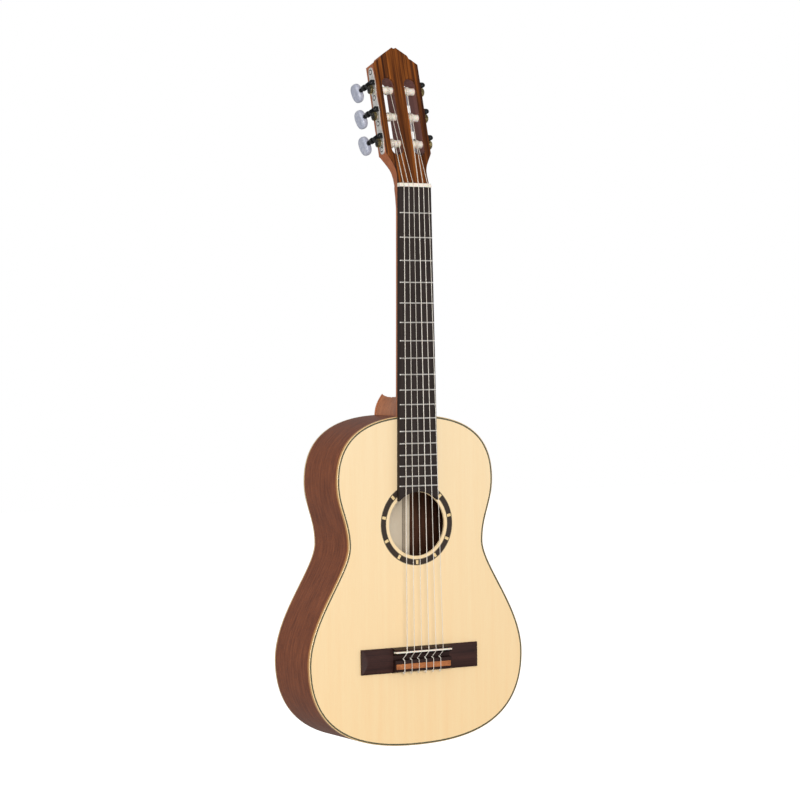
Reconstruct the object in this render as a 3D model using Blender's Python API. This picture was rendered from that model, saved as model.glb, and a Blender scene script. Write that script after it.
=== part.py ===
"""Three-quarter size classical guitar, standing upright on its tail.

X points to the treble side, +Z runs up the neck and -Y out of the soundboard. The origin is on the glue
plane under the fingerboard, at the edge of the nut where the open strings begin.
"""

import math

import bmesh
import bpy
from mathutils import Vector

MM = 0.001
GAP = 0.3 * MM  # left between pieces that are glued or rest on each other

# Strings, fingerboard and nut
SCALE_LENGTH = 590 * MM
FRETS = 18
HALF_WIDTH_NUT = 23.2 * MM
HALF_WIDTH_TWELFTH = 27.4 * MM
BOARD_THICKNESS = 6.5 * MM
FRET_WIDTH = 2.2 * MM
FRET_HEIGHT = 1.0 * MM
NUT_THICKNESS = 4.8 * MM
NUT_HEIGHT = 9.2 * MM
STRING_RADII = [0.36 * MM, 0.41 * MM, 0.51 * MM, 0.37 * MM, 0.43 * MM, 0.54 * MM]  # string 1 to string 6
NUT_SPACING = 7.2 * MM
SADDLE_SPACING = 10.7 * MM
SADDLE_SHIFT = 1.2 * MM  # the strings cross the saddle a little to the treble side
TIE_SHIFT = -1.0 * MM
NUT_STRING_BOTTOM = 8.1 * MM
SADDLE_TOP = 15.0 * MM

# Body
DEPTH = 95.5 * MM
DEEPEST_Z = -600 * MM
BACK_ARCH_RADIUS = 6300 * MM
TOP_THICKNESS = 2.6 * MM
BACK_THICKNESS = 2.5 * MM
SIDE_THICKNESS = 2.0 * MM
BINDING_HEIGHT = 4.6 * MM
BACK_BINDING_HEIGHT = 3.6 * MM
LINING_HEIGHT = 13 * MM
LINING_WIDTH = 5.2 * MM
BLOCK_HALF_WIDTH = 32 * MM
BLOCK_LENGTH = 13 * MM
HOLE_Z = -430.5 * MM
HOLE_RADIUS = 41 * MM
ROSETTE_RADIUS = 52.9 * MM
ROSETTE_THICKNESS = 0.9 * MM
BOARD_END_RADIUS = 41.6 * MM
STATIONS = 30  # facets of half the outline
HOLE_SIDES = 40

# Half of the body's outline: Bezier curves from the tail to the neck, each (start, handle, handle, end)
TAIL = (0, -713.9)
LOWER_BOUT = (158.0, -603.6)
WAIST = (99.3, -455.9)
UPPER_BOUT = (115.1, -374.5)
SHOULDER = (0, -291.5)
OUTLINE = [
    (TAIL, (62.0, -713.9), (158.0, -704.1), LOWER_BOUT),
    (LOWER_BOUT, (158.0, -545.4), (99.3, -488.6), WAIST),
    (WAIST, (99.3, -423.1), (115.1, -407.0), UPPER_BOUT),
    (UPPER_BOUT, (115.1, -337.4), (98.4, -291.5), SHOULDER),
]

# Headstock, measured across, up from the nut and back from its front face
HEAD_TILT = math.radians(15)
HEAD_Y = -2.5 * MM
HEAD_Z = 5.3 * MM
HEADPLATE_THICKNESS = 3.0 * MM
HEAD_THICKNESS = 22 * MM
HEAD_HALF_WIDTH = 32.5 * MM
SLAB_START = 41 * MM
FLARE = [(0.3, 22.6), (10, 21.7), (18, 21.8), (24, 23.5), (31, 27.0), (36, 29.8), (41, 32.5)]
CREST = [(163, 32.5), (169.6, 23.0), (170.4, 20.6), (174.4, 18.8), (184.9, 3.0), (183.3, 0.0)]
SLOT_CENTRE = 16.25 * MM
SLOT_RADIUS = 8.75 * MM
SLOT_START = 38 * MM
SLOT_END = 143 * MM

# Machine heads
ROLLER_ROWS = [56.2 * MM, 92.4 * MM, 128.6 * MM]
ROLLER_DEPTH = 9.8 * MM
ROLLER_RADIUS = 4.9 * MM
ROLLER_INNER = 4.0 * MM
ROLLER_STRING_X = [17 * MM, 15 * MM, 13 * MM]
PLATE_THICKNESS = 1.2 * MM
PLATE_START = 41.4 * MM
PLATE_LENGTH = 117.4 * MM
SCREW_ROW = 47.6 * MM
SCREW_PITCH = 35 * MM
GEAR_X = 37.8 * MM
GEAR_WIDTH = 3.8 * MM
GEAR_TEETH = 14
GEAR_PITCH_RADIUS = 5.35 * MM
GEAR_OUTER_RADIUS = 5.75 * MM
GEAR_ROOT_RADIUS = 4.45 * MM
WORM_OFFSET = 8.05 * MM
WORM_LEAD = 2 * math.pi * GEAR_PITCH_RADIUS / GEAR_TEETH
WORM_TURNS = 3
WORM_CORE = 1.95 * MM
WORM_RADIUS = 3.3 * MM
JOURNAL_RADIUS = 1.6 * MM
WORM_SIDES = 12
BUTTON_CENTRE = 43.8 * MM
BUTTON_HALF_LENGTH = 9.2 * MM
BUTTON_HALF_WIDTH = 12.4 * MM
BUTTON_HALF_THICKNESS = 4.6 * MM

# Bridge
BRIDGE_SHIFT = 1.1 * MM  # the bridge is glued a little to the treble side
BRIDGE_HALF_LENGTH = 85.9 * MM
BRIDGE_HALF_CENTRE = 41.5 * MM
TIE_HOLE_HEIGHT = 9.4 * MM
TIE_BLOCK_TOP = 12.2 * MM
WING_HEIGHT = 5.8
SADDLE_HALF_LENGTH = 41.4 * MM
INLAY_HALF_LENGTH = 40.1 * MM
# The centre's profile from the hole side to the tail side, as (z, height above the soundboard)
BRIDGE_PROFILE = [
    (-586.8, 0.3),
    (-586.8, 5.0),
    (-589.4, 11.4),
    (-590.8, 12.0),
    (-590.9, 8.0),
    (-593.5, 8.0),
    (-593.6, 12.0),
    (-594.8, 11.2),
    (-596.4, 6.2),
    (-601.4, 6.2),
    (-602.4, 11.6),
    (-606.9, 12.2),
    (-607.0, 11.0),
    (-614.0, 11.0),
    (-614.1, 12.2),
    (-616.8, 11.6),
    (-618.6, 4.6),
    (-618.6, 0.3),
]

MAHOGANY = (0.19, 0.075, 0.035)
MAHOGANY_NECK = (0.42, 0.18, 0.09)
SPRUCE = (0.87, 0.68, 0.40)
ROSEWOOD = (0.045, 0.025, 0.022)
BRACE_WOOD = (0.72, 0.56, 0.36)
BINDING = (0.52, 0.28, 0.09)
BONE = (0.86, 0.80, 0.68)


def finish(name, colour, roughness, metallic=0.0):
    made = bpy.data.materials.new(name)
    made.use_nodes = True
    shader = made.node_tree.nodes["Principled BSDF"]
    shader.inputs["Base Color"].default_value = (*colour, 1.0)
    shader.inputs["Roughness"].default_value = roughness
    shader.inputs["Metallic"].default_value = metallic
    return made


def add(name, shape, look, smooth=False, origin=(0, 0, 0)):
    """A closed mesh from (points, faces), with its object origin at the given place."""
    points, faces = shape
    build = bmesh.new()
    corners = [build.verts.new(Vector(point) - Vector(origin)) for point in points]
    for face in faces:
        build.faces.new([corners[index] for index in face]).smooth = smooth
    bmesh.ops.recalc_face_normals(build, faces=build.faces)
    mesh = bpy.data.meshes.new(name)
    build.to_mesh(mesh)
    build.free()
    mesh.materials.append(finish(name, *look))
    made = bpy.data.objects.new(name, mesh)
    made.location = origin
    bpy.context.scene.collection.objects.link(made)
    return made


def merge(shapes):
    """One (points, faces) holding several."""
    points = []
    faces = []
    for more_points, more_faces in shapes:
        first = len(points)
        points += list(more_points)
        faces += [tuple(first + index for index in face) for face in more_faces]
    return points, faces


def boolean(piece, operation, name, shapes):
    """Joins shapes to the piece, or cuts them from it, with one hidden helper object."""
    helper = add(name, merge(shapes), (BONE, 0.5))
    helper.hide_render = True
    helper.display_type = "WIRE"
    change = piece.modifiers.new(name, "BOOLEAN")
    change.operation = operation
    change.solver = "EXACT"
    change.object = helper
    return piece


def skin(rings, closed=False):
    """The surface through rings of equally many points. It is capped, or joined into a loop when closed."""
    size = len(rings[0])
    points = [point for ring in rings for point in ring]
    faces = []
    for i in range(len(rings) if closed else len(rings) - 1):
        here = i * size
        there = (i + 1) % len(rings) * size
        for j in range(size):
            after = (j + 1) % size
            faces.append((here + j, here + after, there + after, there + j))
    if not closed:
        faces.append(tuple(range(size)))
        faces.append(tuple(range(len(points) - size, len(points))))
    return points, faces


def box(low, high):
    rings = []
    for z in (low[2], high[2]):
        rings.append(
            [
                Vector((low[0], low[1], z)),
                Vector((high[0], low[1], z)),
                Vector((high[0], high[1], z)),
                Vector((low[0], high[1], z)),
            ]
        )
    return skin(rings)


def circle(centre, across, along, radius, sides):
    """Points round a circle in the plane of two unit vectors."""
    ring = []
    for k in range(sides):
        angle = 2 * math.pi * k / sides
        ring.append(centre + across * (radius * math.cos(angle)) + along * (radius * math.sin(angle)))
    return ring


X = Vector((1, 0, 0))
Y = Vector((0, 1, 0))
Z = Vector((0, 0, 1))
HEAD_UP = Vector((0, math.sin(HEAD_TILT), math.cos(HEAD_TILT)))
HEAD_BACK = Vector((0, math.cos(HEAD_TILT), -math.sin(HEAD_TILT)))


def head(x, up, depth):
    """A point across, up and behind the headstock's front face."""
    return Vector((x, HEAD_Y, HEAD_Z)) + HEAD_UP * up + HEAD_BACK * depth


def board_half_width(z):
    return HALF_WIDTH_NUT - (HALF_WIDTH_TWELFTH - HALF_WIDTH_NUT) * z / (SCALE_LENGTH / 2)


def back_y(z):
    """How far behind the soundboard the arched back lies."""
    return DEPTH - (z - DEEPEST_Z) ** 2 / (2 * BACK_ARCH_RADIUS)


# ---------------------------------------------------------------- body outline


def bezier(curve, t):
    weights = ((1 - t) ** 3, 3 * t * (1 - t) ** 2, 3 * t**2 * (1 - t), t**3)
    x = sum(weight * point[0] for weight, point in zip(weights, curve)) * MM
    z = sum(weight * point[1] for weight, point in zip(weights, curve)) * MM
    return x, z


def outline_stations():
    """Evenly spaced (x, z, outward x, outward z) along the treble half, from the tail to the neck."""
    steps = 200
    dense = [bezier(curve, k / steps) for curve in OUTLINE for k in range(steps)]
    dense.append(bezier(OUTLINE[-1], 1.0))
    lengths = [0.0]
    for (x0, z0), (x1, z1) in zip(dense, dense[1:]):
        lengths.append(lengths[-1] + math.hypot(x1 - x0, z1 - z0))
    stations = []
    for k in range(STATIONS + 1):
        target = lengths[-1] * k / STATIONS
        at = min(range(len(lengths)), key=lambda i: abs(lengths[i] - target))
        before = dense[max(at - 1, 0)]
        after = dense[min(at + 1, len(dense) - 1)]
        run_x = after[0] - before[0]
        run_z = after[1] - before[1]
        length = math.hypot(run_x, run_z)
        normal = (run_z / length, -run_x / length)
        if k in (0, STATIONS):
            normal = (0.0, -1.0 if k == 0 else 1.0)
        stations.append((dense[at][0], dense[at][1], *normal))
    return stations


HALF = outline_stations()


def rail(offset, tail_x=0.0, neck_x=0.0):
    """Points (x, z) of the treble half moved outwards, cut off at x = tail_x and at x = neck_x."""
    line = [(x + nx * offset, z + nz * offset) for x, z, nx, nz in HALF]
    first = next(i for i, station in enumerate(HALF) if station[0] > tail_x)
    last = max(i for i, station in enumerate(HALF) if station[0] > neck_x)

    def at_x(start, end, x):
        part = (x - start[0]) / (end[0] - start[0])
        return (x, start[1] + part * (end[1] - start[1]))

    tail_end = at_x(line[first - 1], line[first], tail_x)
    neck_end = at_x(line[last], line[last + 1], neck_x)
    return [tail_end, *line[first : last + 1], neck_end]


def loop(offset):
    """The whole outline, as (x, z)."""
    half = rail(offset)
    return half + [(-x, z) for x, z in half[-2:0:-1]]


def plate(offset, front, back):
    """A plate inside the outline, between the depths front(z) and back(z)."""
    rings = []
    for x, z in rail(offset, 2 * MM, 2 * MM):
        right = [Vector((x, front(z), z)), Vector((x, back(z), z))]
        left = [Vector((-x, back(z), z)), Vector((-x, front(z), z))]
        rings.append(right + left)
    return skin(rings)


def strip(outer, inner, profile, closed=False, side=1):
    """A strip along two rails. profile lists (share of the way from outer to inner, depth at z)."""
    rings = []
    for (x0, z0), (x1, z1) in zip(outer, inner):
        ring = []
        for share, depth in profile:
            z = z0 + share * (z1 - z0)
            ring.append(Vector((side * (x0 + share * (x1 - x0)), depth(z), z)))
        rings.append(ring)
    return skin(rings, closed)


def build_body():
    inside = -(SIDE_THICKNESS + GAP)
    lining_top = TOP_THICKNESS + GAP

    def lining_back(z):
        return back_y(z) - BACK_THICKNESS - GAP

    top = add("soundboard", plate(inside, lambda z: 0.0, lambda z: TOP_THICKNESS), (SPRUCE, 0.3))
    hole = Vector((0, 0, HOLE_Z))
    groove = ROSETTE_THICKNESS + GAP
    outer = ROSETTE_RADIUS + GAP
    levels = [(-10 * MM, outer), (groove, outer), (groove, HOLE_RADIUS), (20 * MM, HOLE_RADIUS)]
    cutter = skin([circle(hole + Y * level, X, Z, radius, HOLE_SIDES) for level, radius in levels])
    boolean(top, "DIFFERENCE", "sound_hole_cutter", [cutter])
    add("back", plate(inside, lambda z: back_y(z) - BACK_THICKNESS, back_y), (MAHOGANY, 0.3))

    corners = [
        (HOLE_RADIUS, 0.0),
        (ROSETTE_RADIUS, 0.0),
        (ROSETTE_RADIUS, ROSETTE_THICKNESS),
        (HOLE_RADIUS, ROSETTE_THICKNESS),
    ]
    rings = []
    for k in range(HOLE_SIDES):
        angle = 2 * math.pi * k / HOLE_SIDES
        outward = X * math.cos(angle) + Z * math.sin(angle)
        rings.append([hole + outward * radius + Y * depth for radius, depth in corners])
    add("rosette", skin(rings, closed=True), (ROSEWOOD, 0.3))

    edge = [
        (0, lambda z: 0.0),
        (0, lambda z: BINDING_HEIGHT),
        (1, lambda z: BINDING_HEIGHT),
        (1, lambda z: 0.0),
    ]
    add("binding_top", strip(loop(0), loop(-SIDE_THICKNESS), edge, closed=True), (BINDING, 0.3))
    edge = [
        (0, back_y),
        (0, lambda z: back_y(z) - BACK_BINDING_HEIGHT),
        (1, lambda z: back_y(z) - BACK_BINDING_HEIGHT),
        (1, back_y),
    ]
    add("binding_back", strip(loop(0), loop(-SIDE_THICKNESS), edge, closed=True), (BINDING, 0.3))

    wall = [
        (0, lambda z: BINDING_HEIGHT + GAP),
        (0, lambda z: back_y(z) - BACK_BINDING_HEIGHT - GAP),
        (1, lambda z: back_y(z) - BACK_BINDING_HEIGHT - GAP),
        (1, lambda z: BINDING_HEIGHT + GAP),
    ]
    top_lining = [
        (0, lambda z: lining_top),
        (0, lambda z: lining_top + LINING_HEIGHT),
        (0.35, lambda z: lining_top + LINING_HEIGHT),
        (1, lambda z: lining_top + 0.3 * LINING_HEIGHT),
        (1, lambda z: lining_top),
    ]
    back_lining = [
        (0, lining_back),
        (0, lambda z: lining_back(z) - LINING_HEIGHT),
        (0.35, lambda z: lining_back(z) - LINING_HEIGHT),
        (1, lambda z: lining_back(z) - 0.3 * LINING_HEIGHT),
        (1, lining_back),
    ]
    wall_rails = [rail(offset, GAP / 2, 10.3 * MM) for offset in (0, -SIDE_THICKNESS)]
    clear = BLOCK_HALF_WIDTH + GAP
    lining_rails = [rail(offset, clear, clear) for offset in (inside, inside - LINING_WIDTH)]
    for name, side in (("bass", -1), ("treble", 1)):
        add(f"side_{name}", strip(*wall_rails, wall, side=side), (MAHOGANY, 0.25))
        add(f"lining_top_{name}", strip(*lining_rails, top_lining, side=side), (BRACE_WOOD, 0.6))
        add(f"lining_back_{name}", strip(*lining_rails, back_lining, side=side), (BRACE_WOOD, 0.6))

    tail_block = block(rail(inside), -1, lining_top, lining_back(TAIL[1] * MM))
    add("tail_block", tail_block, (BRACE_WOOD, 0.6))


def block(line, end, front, back):
    """A block against the inside of the outline, at the tail (end -1) or the neck (end 1)."""
    beyond_hole = sorted(point for point in line if point[1] * end > HOLE_Z * end)
    near = [point for point in beyond_hole if point[0] < BLOCK_HALF_WIDTH]
    x0, z0 = near[-1]
    x1, z1 = beyond_hole[len(near)]
    corner = (BLOCK_HALF_WIDTH, z0 + (z1 - z0) * (BLOCK_HALF_WIDTH - x0) / (x1 - x0))
    edge = [*near, corner]
    whole = [(-x, z) for x, z in reversed(edge)] + edge[1:]
    straight = edge[0][1] - end * BLOCK_LENGTH
    whole += [(BLOCK_HALF_WIDTH, straight), (-BLOCK_HALF_WIDTH, straight)]
    return skin([[Vector((x, y, z)) for x, z in whole] for y in (front, back)])


def bar(start, end, inward, width, height):
    """A brace glued along start to end, standing up inward, its ends scooped down."""
    along = (end - start).normalized()
    across = along.cross(inward).normalized() * (width / 2)
    rings = []
    for share, part in ((0, 0.2), (0.09, 0.3), (0.2, 0.9), (0.5, 1.0), (0.8, 0.9), (0.91, 0.3), (1, 0.2)):
        foot = start + (end - start) * share
        top = foot + inward * (height * part)
        rings.append([foot - across, foot + across, top + across * 0.5, top - across * 0.5])
    return skin(rings)


def build_braces():
    look = (BRACE_WOOD, 0.6)
    glue = TOP_THICKNESS + GAP
    for name, half, z in (("upper", 97 * MM, -362 * MM), ("lower", 90 * MM, -491 * MM)):
        shape = bar(Vector((-half, glue, z)), Vector((half, glue, z)), Y, 6 * MM, 13 * MM)
        add(f"transverse_brace_{name}", shape, look)
    for number, spread in enumerate((-1, 0, 1), 1):
        start = Vector((spread * 26 * MM, glue, -498 * MM))
        end = Vector((spread * 64 * MM, glue, (-694 + 8 * abs(spread)) * MM))
        add(f"fan_brace_{number}", bar(start, end, Y, 5 * MM, 5 * MM), look)
    back_bars = ((97 * MM, -345 * MM), (98 * MM, -503 * MM), (139 * MM, -620 * MM))
    for number, (half, z) in enumerate(back_bars, 1):
        glue_back = min(back_y(z - 4 * MM), back_y(z + 4 * MM)) - BACK_THICKNESS - GAP
        shape = bar(Vector((-half, glue_back, z)), Vector((half, glue_back, z)), -Y, 7 * MM, 14 * MM)
        add(f"back_brace_{number}", shape, look)


# ---------------------------------------------------------------- neck


def d_ring(place, half_width, top, bottom, squareness):
    """A flat-topped D across the neck. place turns (x, depth) into a point."""
    ring = []
    for k in range(13):
        angle = math.pi * k / 12
        across = math.cos(angle)
        x = half_width * math.copysign(abs(across) ** (2 / squareness), across)
        ring.append(place(x, top + (bottom - top) * max(math.sin(angle), 0.0) ** (2 / squareness)))
    return ring


def neck_shaft():
    rings = []
    for z, thickness, squareness in (
        (-290.9 * MM, 17.4 * MM, 2.0),
        (-150 * MM, 16 * MM, 2.0),
        (-26 * MM, 15.2 * MM, 2.1),
        (-12 * MM, 15.2 * MM, 2.7),
        (-1.5 * MM, 15.4 * MM, 3.6),
    ):
        width = board_half_width(z)
        rings.append(d_ring(lambda x, y, z=z: Vector((x, y, z)), width, 0.0, thickness, squareness))
    glue = HEADPLATE_THICKNESS + GAP
    for up, half_width, top, bottom, squareness in (
        (0, 22.7 * MM, glue, 18.2 * MM, 4.0),
        (10 * MM, 21.7 * MM, glue, 18.6 * MM, 5.5),
        (18 * MM, 21.7 * MM, glue, 19.2 * MM, 8.0),
        (24 * MM, 23.4 * MM, glue, 19.8 * MM, 10.0),
        (31 * MM, 26.9 * MM, glue, 20.6 * MM, 12.0),
        (36 * MM, 29.7 * MM, glue, 21.2 * MM, 12.0),
        (40.8 * MM, 32.3 * MM, glue, 21.8 * MM, 12.0),
        (45 * MM, 30.0 * MM, glue + 3 * MM, 20 * MM, 12.0),
    ):
        rings.append(d_ring(lambda x, y, up=up: head(x, up, y), half_width, top, bottom, squareness))
    return skin(rings)


def head_outline(start):
    """Points (x, up) round the headstock, from its lower edge over the crest and down the other side."""
    half = [(x * MM, up * MM) for up, x in FLARE + CREST if up * MM >= start]
    return half + [(-x, up) for x, up in reversed(half[:-1])]


def head_prism(outline, front, back):
    return skin([[head(x, up, depth) for x, up in outline] for depth in (front, back)])


def slot_cutters():
    cutters = []
    for side in (-1, 1):
        outline = []
        for middle, first in ((SLOT_END - SLOT_RADIUS, 0.0), (SLOT_START + SLOT_RADIUS, math.pi)):
            for k in range(9):
                angle = first + math.pi * k / 8
                x = side * SLOT_CENTRE + SLOT_RADIUS * math.cos(angle)
                outline.append((x, middle + SLOT_RADIUS * math.sin(angle)))
        cutters.append(head_prism(outline, -12 * MM, HEAD_THICKNESS + 12 * MM))
    return cutters


HEEL_BASE = -291.2 * MM
HEEL_CAP_THICKNESS = 2 * MM


def heel_half_width(y):
    return (10 + 14.6 * math.exp(-(y / MM - 4) / 30)) * MM


def heel_apex(y):
    """How far up the neck the heel's ridge reaches at depth y. It is closest to the body at low_y."""
    low_y = 62 * MM
    low_z = -268 * MM
    if y > low_y:
        return low_z + 3.7 * MM * ((y - low_y) / (24 * MM)) ** 2
    return low_z + 30 * MM * ((low_y - y) / (46 * MM)) ** 3.2


def heel_ring(y, depth_at):
    """The heel's outline at depth y, a pointed arch standing on the body."""
    reach = heel_apex(y) - HEEL_BASE
    point = 2.0 + 2.2 * math.exp(-y / (25 * MM))
    half = []
    for k in range(6):
        share = k / 5
        z = HEEL_BASE + reach * share
        half.append((heel_half_width(y) * (1 - share**point), z))
    outline = half + [(-x, z) for x, z in reversed(half[:-1])]
    return [Vector((x, depth_at(z), z)) for x, z in outline]


def build_neck():
    neck = add("neck", neck_shaft(), (MAHOGANY_NECK, 0.4), smooth=False)
    slab = head_prism(head_outline(SLAB_START), HEADPLATE_THICKNESS + GAP, HEAD_THICKNESS)

    def heel_back(z):
        return back_y(z) - HEEL_CAP_THICKNESS - GAP

    rings = [heel_ring(y * MM, lambda z, y=y: y * MM) for y in (4, 10, 16, 24, 34, 48, 62, 74)]
    rings.append(heel_ring(86 * MM, heel_back))
    inside = -(SIDE_THICKNESS + GAP)
    web = box((-10 * MM, BINDING_HEIGHT + 2 * GAP, -300 * MM), (10 * MM, 83 * MM, -284 * MM))
    foot_back = back_y(SHOULDER[1] * MM) - BACK_THICKNESS - 2 * GAP
    foot = block(rail(inside), 1, TOP_THICKNESS + GAP, foot_back)
    boolean(neck, "UNION", "headstock_slab", [slab])
    boolean(neck, "UNION", "heel_part", [skin(rings)])
    boolean(neck, "UNION", "heel_web", [web])
    boolean(neck, "UNION", "heel_foot", [foot])
    boolean(neck, "DIFFERENCE", "slot_cutter", slot_cutters())
    bores = []
    for side in (-1, 1):
        for row in ROLLER_ROWS:
            ends = [head(side * x, row, ROLLER_DEPTH) for x in (ROLLER_INNER - 0.4 * MM, 40 * MM)]
            bore = ROLLER_RADIUS + 0.5 * MM
            bores.append(skin([circle(end, HEAD_UP, HEAD_BACK, bore, 16) for end in ends]))
    boolean(neck, "DIFFERENCE", "roller_bores", bores)

    cap_front = heel_ring(86 * MM, lambda z: back_y(z) - HEEL_CAP_THICKNESS)
    rings = [cap_front, heel_ring(86 * MM, back_y)]
    add("heel_cap", skin(rings), (ROSEWOOD, 0.35))

    plate_outline = head_outline(0.2 * MM)
    face = add("headplate", head_prism(plate_outline, 0.0, HEADPLATE_THICKNESS), (ROSEWOOD, 0.3))
    boolean(face, "DIFFERENCE", "headplate_slots", slot_cutters())
    ramps = []
    for side in (-1, 1):
        rings = []
        left = side * 18 * MM - 2.2 * MM
        right = side * 18 * MM + 2.2 * MM
        above = -4 * MM
        for up, depth in ((18 * MM, -0.35 * MM), (40 * MM, 2.7 * MM)):
            floor = [head(left, up, depth), head(right, up, depth)]
            rings.append(floor + [head(right, up, above), head(left, up, above)])
        ramps.append(skin(rings))
    boolean(face, "DIFFERENCE", "string_ramps", ramps)


def build_fingerboard():
    top = -BOARD_THICKNESS
    crown = top - FRET_HEIGHT
    profile = [(-GAP, -GAP), (-GAP, top)]
    for fret in range(1, FRETS + 1):
        z = -SCALE_LENGTH * (1 - 2 ** (-fret / 12))
        for reach, y in ((0.5, top), (0.26, crown), (-0.26, crown), (-0.5, top)):
            profile.append((z + reach * FRET_WIDTH, y))
    end = HOLE_Z + 30 * MM
    profile += [(end, top), (end, -GAP)]
    rings = []
    for side in (-1, 1):
        rings.append([Vector((side * board_half_width(z), y, z)) for z, y in profile])
    board = add("fingerboard", skin(rings), (ROSEWOOD, 0.45))
    centre = Vector((0, 0, HOLE_Z))
    ends = [circle(centre + Y * y, X, Z, BOARD_END_RADIUS, 48) for y in (-20 * MM, 10 * MM)]
    boolean(board, "DIFFERENCE", "board_end_cutter", [skin(ends)])


# ---------------------------------------------------------------- strings, nut, bridge


def string_x(number, spacing):
    """Strings are numbered from the treble side, 1, to the bass side, 6."""
    return (3.5 - number) * spacing


def roller_place(number):
    """(side, row index) of the string's roller: the outer strings go to the rows nearest the nut."""
    return (1, number - 1) if number <= 3 else (-1, 6 - number)


def string_route(number):
    """Points down the middle of a string, from its roller to the loop at the tie block."""
    radius = STRING_RADII[number - 1]
    side, row = roller_place(number)
    over = ROLLER_DEPTH - ROLLER_RADIUS - GAP - radius
    nut_x = string_x(number, NUT_SPACING)
    saddle_x = string_x(number, SADDLE_SPACING) + SADDLE_SHIFT
    tie_x = string_x(number, SADDLE_SPACING) + TIE_SHIFT
    nut_y = -NUT_STRING_BOTTOM - radius
    tie_y = -TIE_HOLE_HEIGHT
    over_y = -(TIE_BLOCK_TOP + GAP + radius)
    start = head(side * ROLLER_STRING_X[row], ROLLER_ROWS[row], over)
    return [
        start,
        Vector((nut_x, nut_y, 0.6 * MM)),
        Vector((saddle_x, -SADDLE_TOP - GAP - radius, -592.85 * MM)),
        Vector((tie_x, tie_y, -600.6 * MM)),
        Vector((tie_x, tie_y, -619.4 * MM)),
        Vector((tie_x, tie_y - 1.6 * MM, -620.2 * MM)),
        Vector((tie_x, over_y + 0.9 * MM, -619.2 * MM)),
        Vector((tie_x, over_y, -617.0 * MM)),
        Vector((tie_x, over_y, -602.8 * MM)),
        Vector((tie_x - 0.8 * MM, over_y + 0.3 * MM, -601.7 * MM)),
        Vector((tie_x - 2.2 * MM, over_y + 1.6 * MM, -601.0 * MM)),
    ]


def cord(points, radius, sides):
    """A round cord along points, mitred where it bends."""
    rings = []
    for i, point in enumerate(points):
        before = points[max(i - 1, 0)]
        after = points[min(i + 1, len(points) - 1)]
        into = (point - before).normalized() if i else (after - point).normalized()
        out = (after - point).normalized() if i < len(points) - 1 else into
        middle = (into + out).normalized()
        across = (X - middle * middle.dot(X)).normalized()
        rings.append(circle(point, across, middle.cross(across), radius, sides))
    return skin(rings)


def build_strings():
    slack = 0.2 * MM
    ends = []
    for z in (0.0, NUT_THICKNESS):
        end = []
        for number in range(6, 0, -1):
            start, front = string_route(number)[:2]
            share = z / (start.z - front.z)
            x = front.x + (start.x - front.x) * share
            drop = (start.y - front.y) * share
            half = STRING_RADII[number - 1] + slack
            floor = -NUT_STRING_BOTTOM + slack + drop
            crest = -NUT_HEIGHT + drop
            end += [(x - half, crest), (x - half * 0.8, floor), (x + half * 0.8, floor), (x + half, crest)]
        left = end[0][1]
        right = end[-1][1]
        corner = 1.2 * MM
        edge = HALF_WIDTH_NUT
        end = [(-edge, -GAP), (-edge, left + corner), (-edge + corner, left), *end]
        end += [(edge - corner, right), (edge, right + corner), (edge, -GAP)]
        ends.append([Vector((x, y, z)) for x, y in end])
    front, rear = ends
    add("nut", skin([front, rear]), (BONE, 0.35))

    for number, radius in enumerate(STRING_RADII, 1):
        steel = number > 3
        look = ((0.75, 0.72, 0.68), 0.3, 1.0) if steel else ((0.85, 0.83, 0.78), 0.25)
        add(f"string_{number}", cord(string_route(number), radius, 6), look, smooth=True)


def build_bridge():
    centre = BRIDGE_PROFILE
    first = centre[0][0]
    length = first - centre[-1][0]

    def ring(x, height):
        """height None gives the centre's profile, otherwise the low arch of a wing."""
        points = []
        for index, (z, y) in enumerate(centre):
            if height is not None and 0 < index < len(centre) - 1:
                share = (first - z) / length
                y = height * (0.55 + 0.45 * math.sin(math.pi * share) ** 0.6)
            points.append(Vector((x + BRIDGE_SHIFT, -y * MM, z * MM)))
        return points

    half = BRIDGE_HALF_LENGTH
    spans = [
        (half, 3.0),
        (half - 3 * MM, 4.8),
        (half - 6.5 * MM, WING_HEIGHT),
        (BRIDGE_HALF_CENTRE + 1.6 * MM, WING_HEIGHT),
        (BRIDGE_HALF_CENTRE, None),
    ]
    rings = [ring(-x, height) for x, height in spans] + [ring(x, height) for x, height in reversed(spans)]
    bridge = add("bridge", skin(rings), (ROSEWOOD, 0.4))
    bores = []
    for number, radius in enumerate(STRING_RADII, 1):
        x = string_x(number, SADDLE_SPACING) + TIE_SHIFT
        ends = [Vector((x, -TIE_HOLE_HEIGHT, z)) for z in (-599 * MM, -624 * MM)]
        bores.append(skin([circle(end, X, Y, radius + 0.35 * MM, 8) for end in ends]))
    boolean(bridge, "DIFFERENCE", "tie_holes", bores)

    top = -SADDLE_TOP
    slot_floor = -8.3 * MM
    profile = [(-591.2, slot_floor), (-591.2, top + 1 * MM), (-591.7, top)]
    profile += [(-592.7, top), (-593.2, top + 1 * MM), (-593.2, slot_floor)]
    rings = []
    for side in (-1, 1):
        end = BRIDGE_SHIFT + side * SADDLE_HALF_LENGTH
        rings.append([Vector((end, y, z * MM)) for z, y in profile])
    add("saddle", skin(rings), (BONE, 0.35))
    left = BRIDGE_SHIFT - INLAY_HALF_LENGTH
    right = BRIDGE_SHIFT + INLAY_HALF_LENGTH
    inlay = box((left, -12.1 * MM, -613.7 * MM), (right, -11.3 * MM, -607.3 * MM))
    add("tie_block_inlay", inlay, (BINDING, 0.4))


# ---------------------------------------------------------------- machine heads


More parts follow.
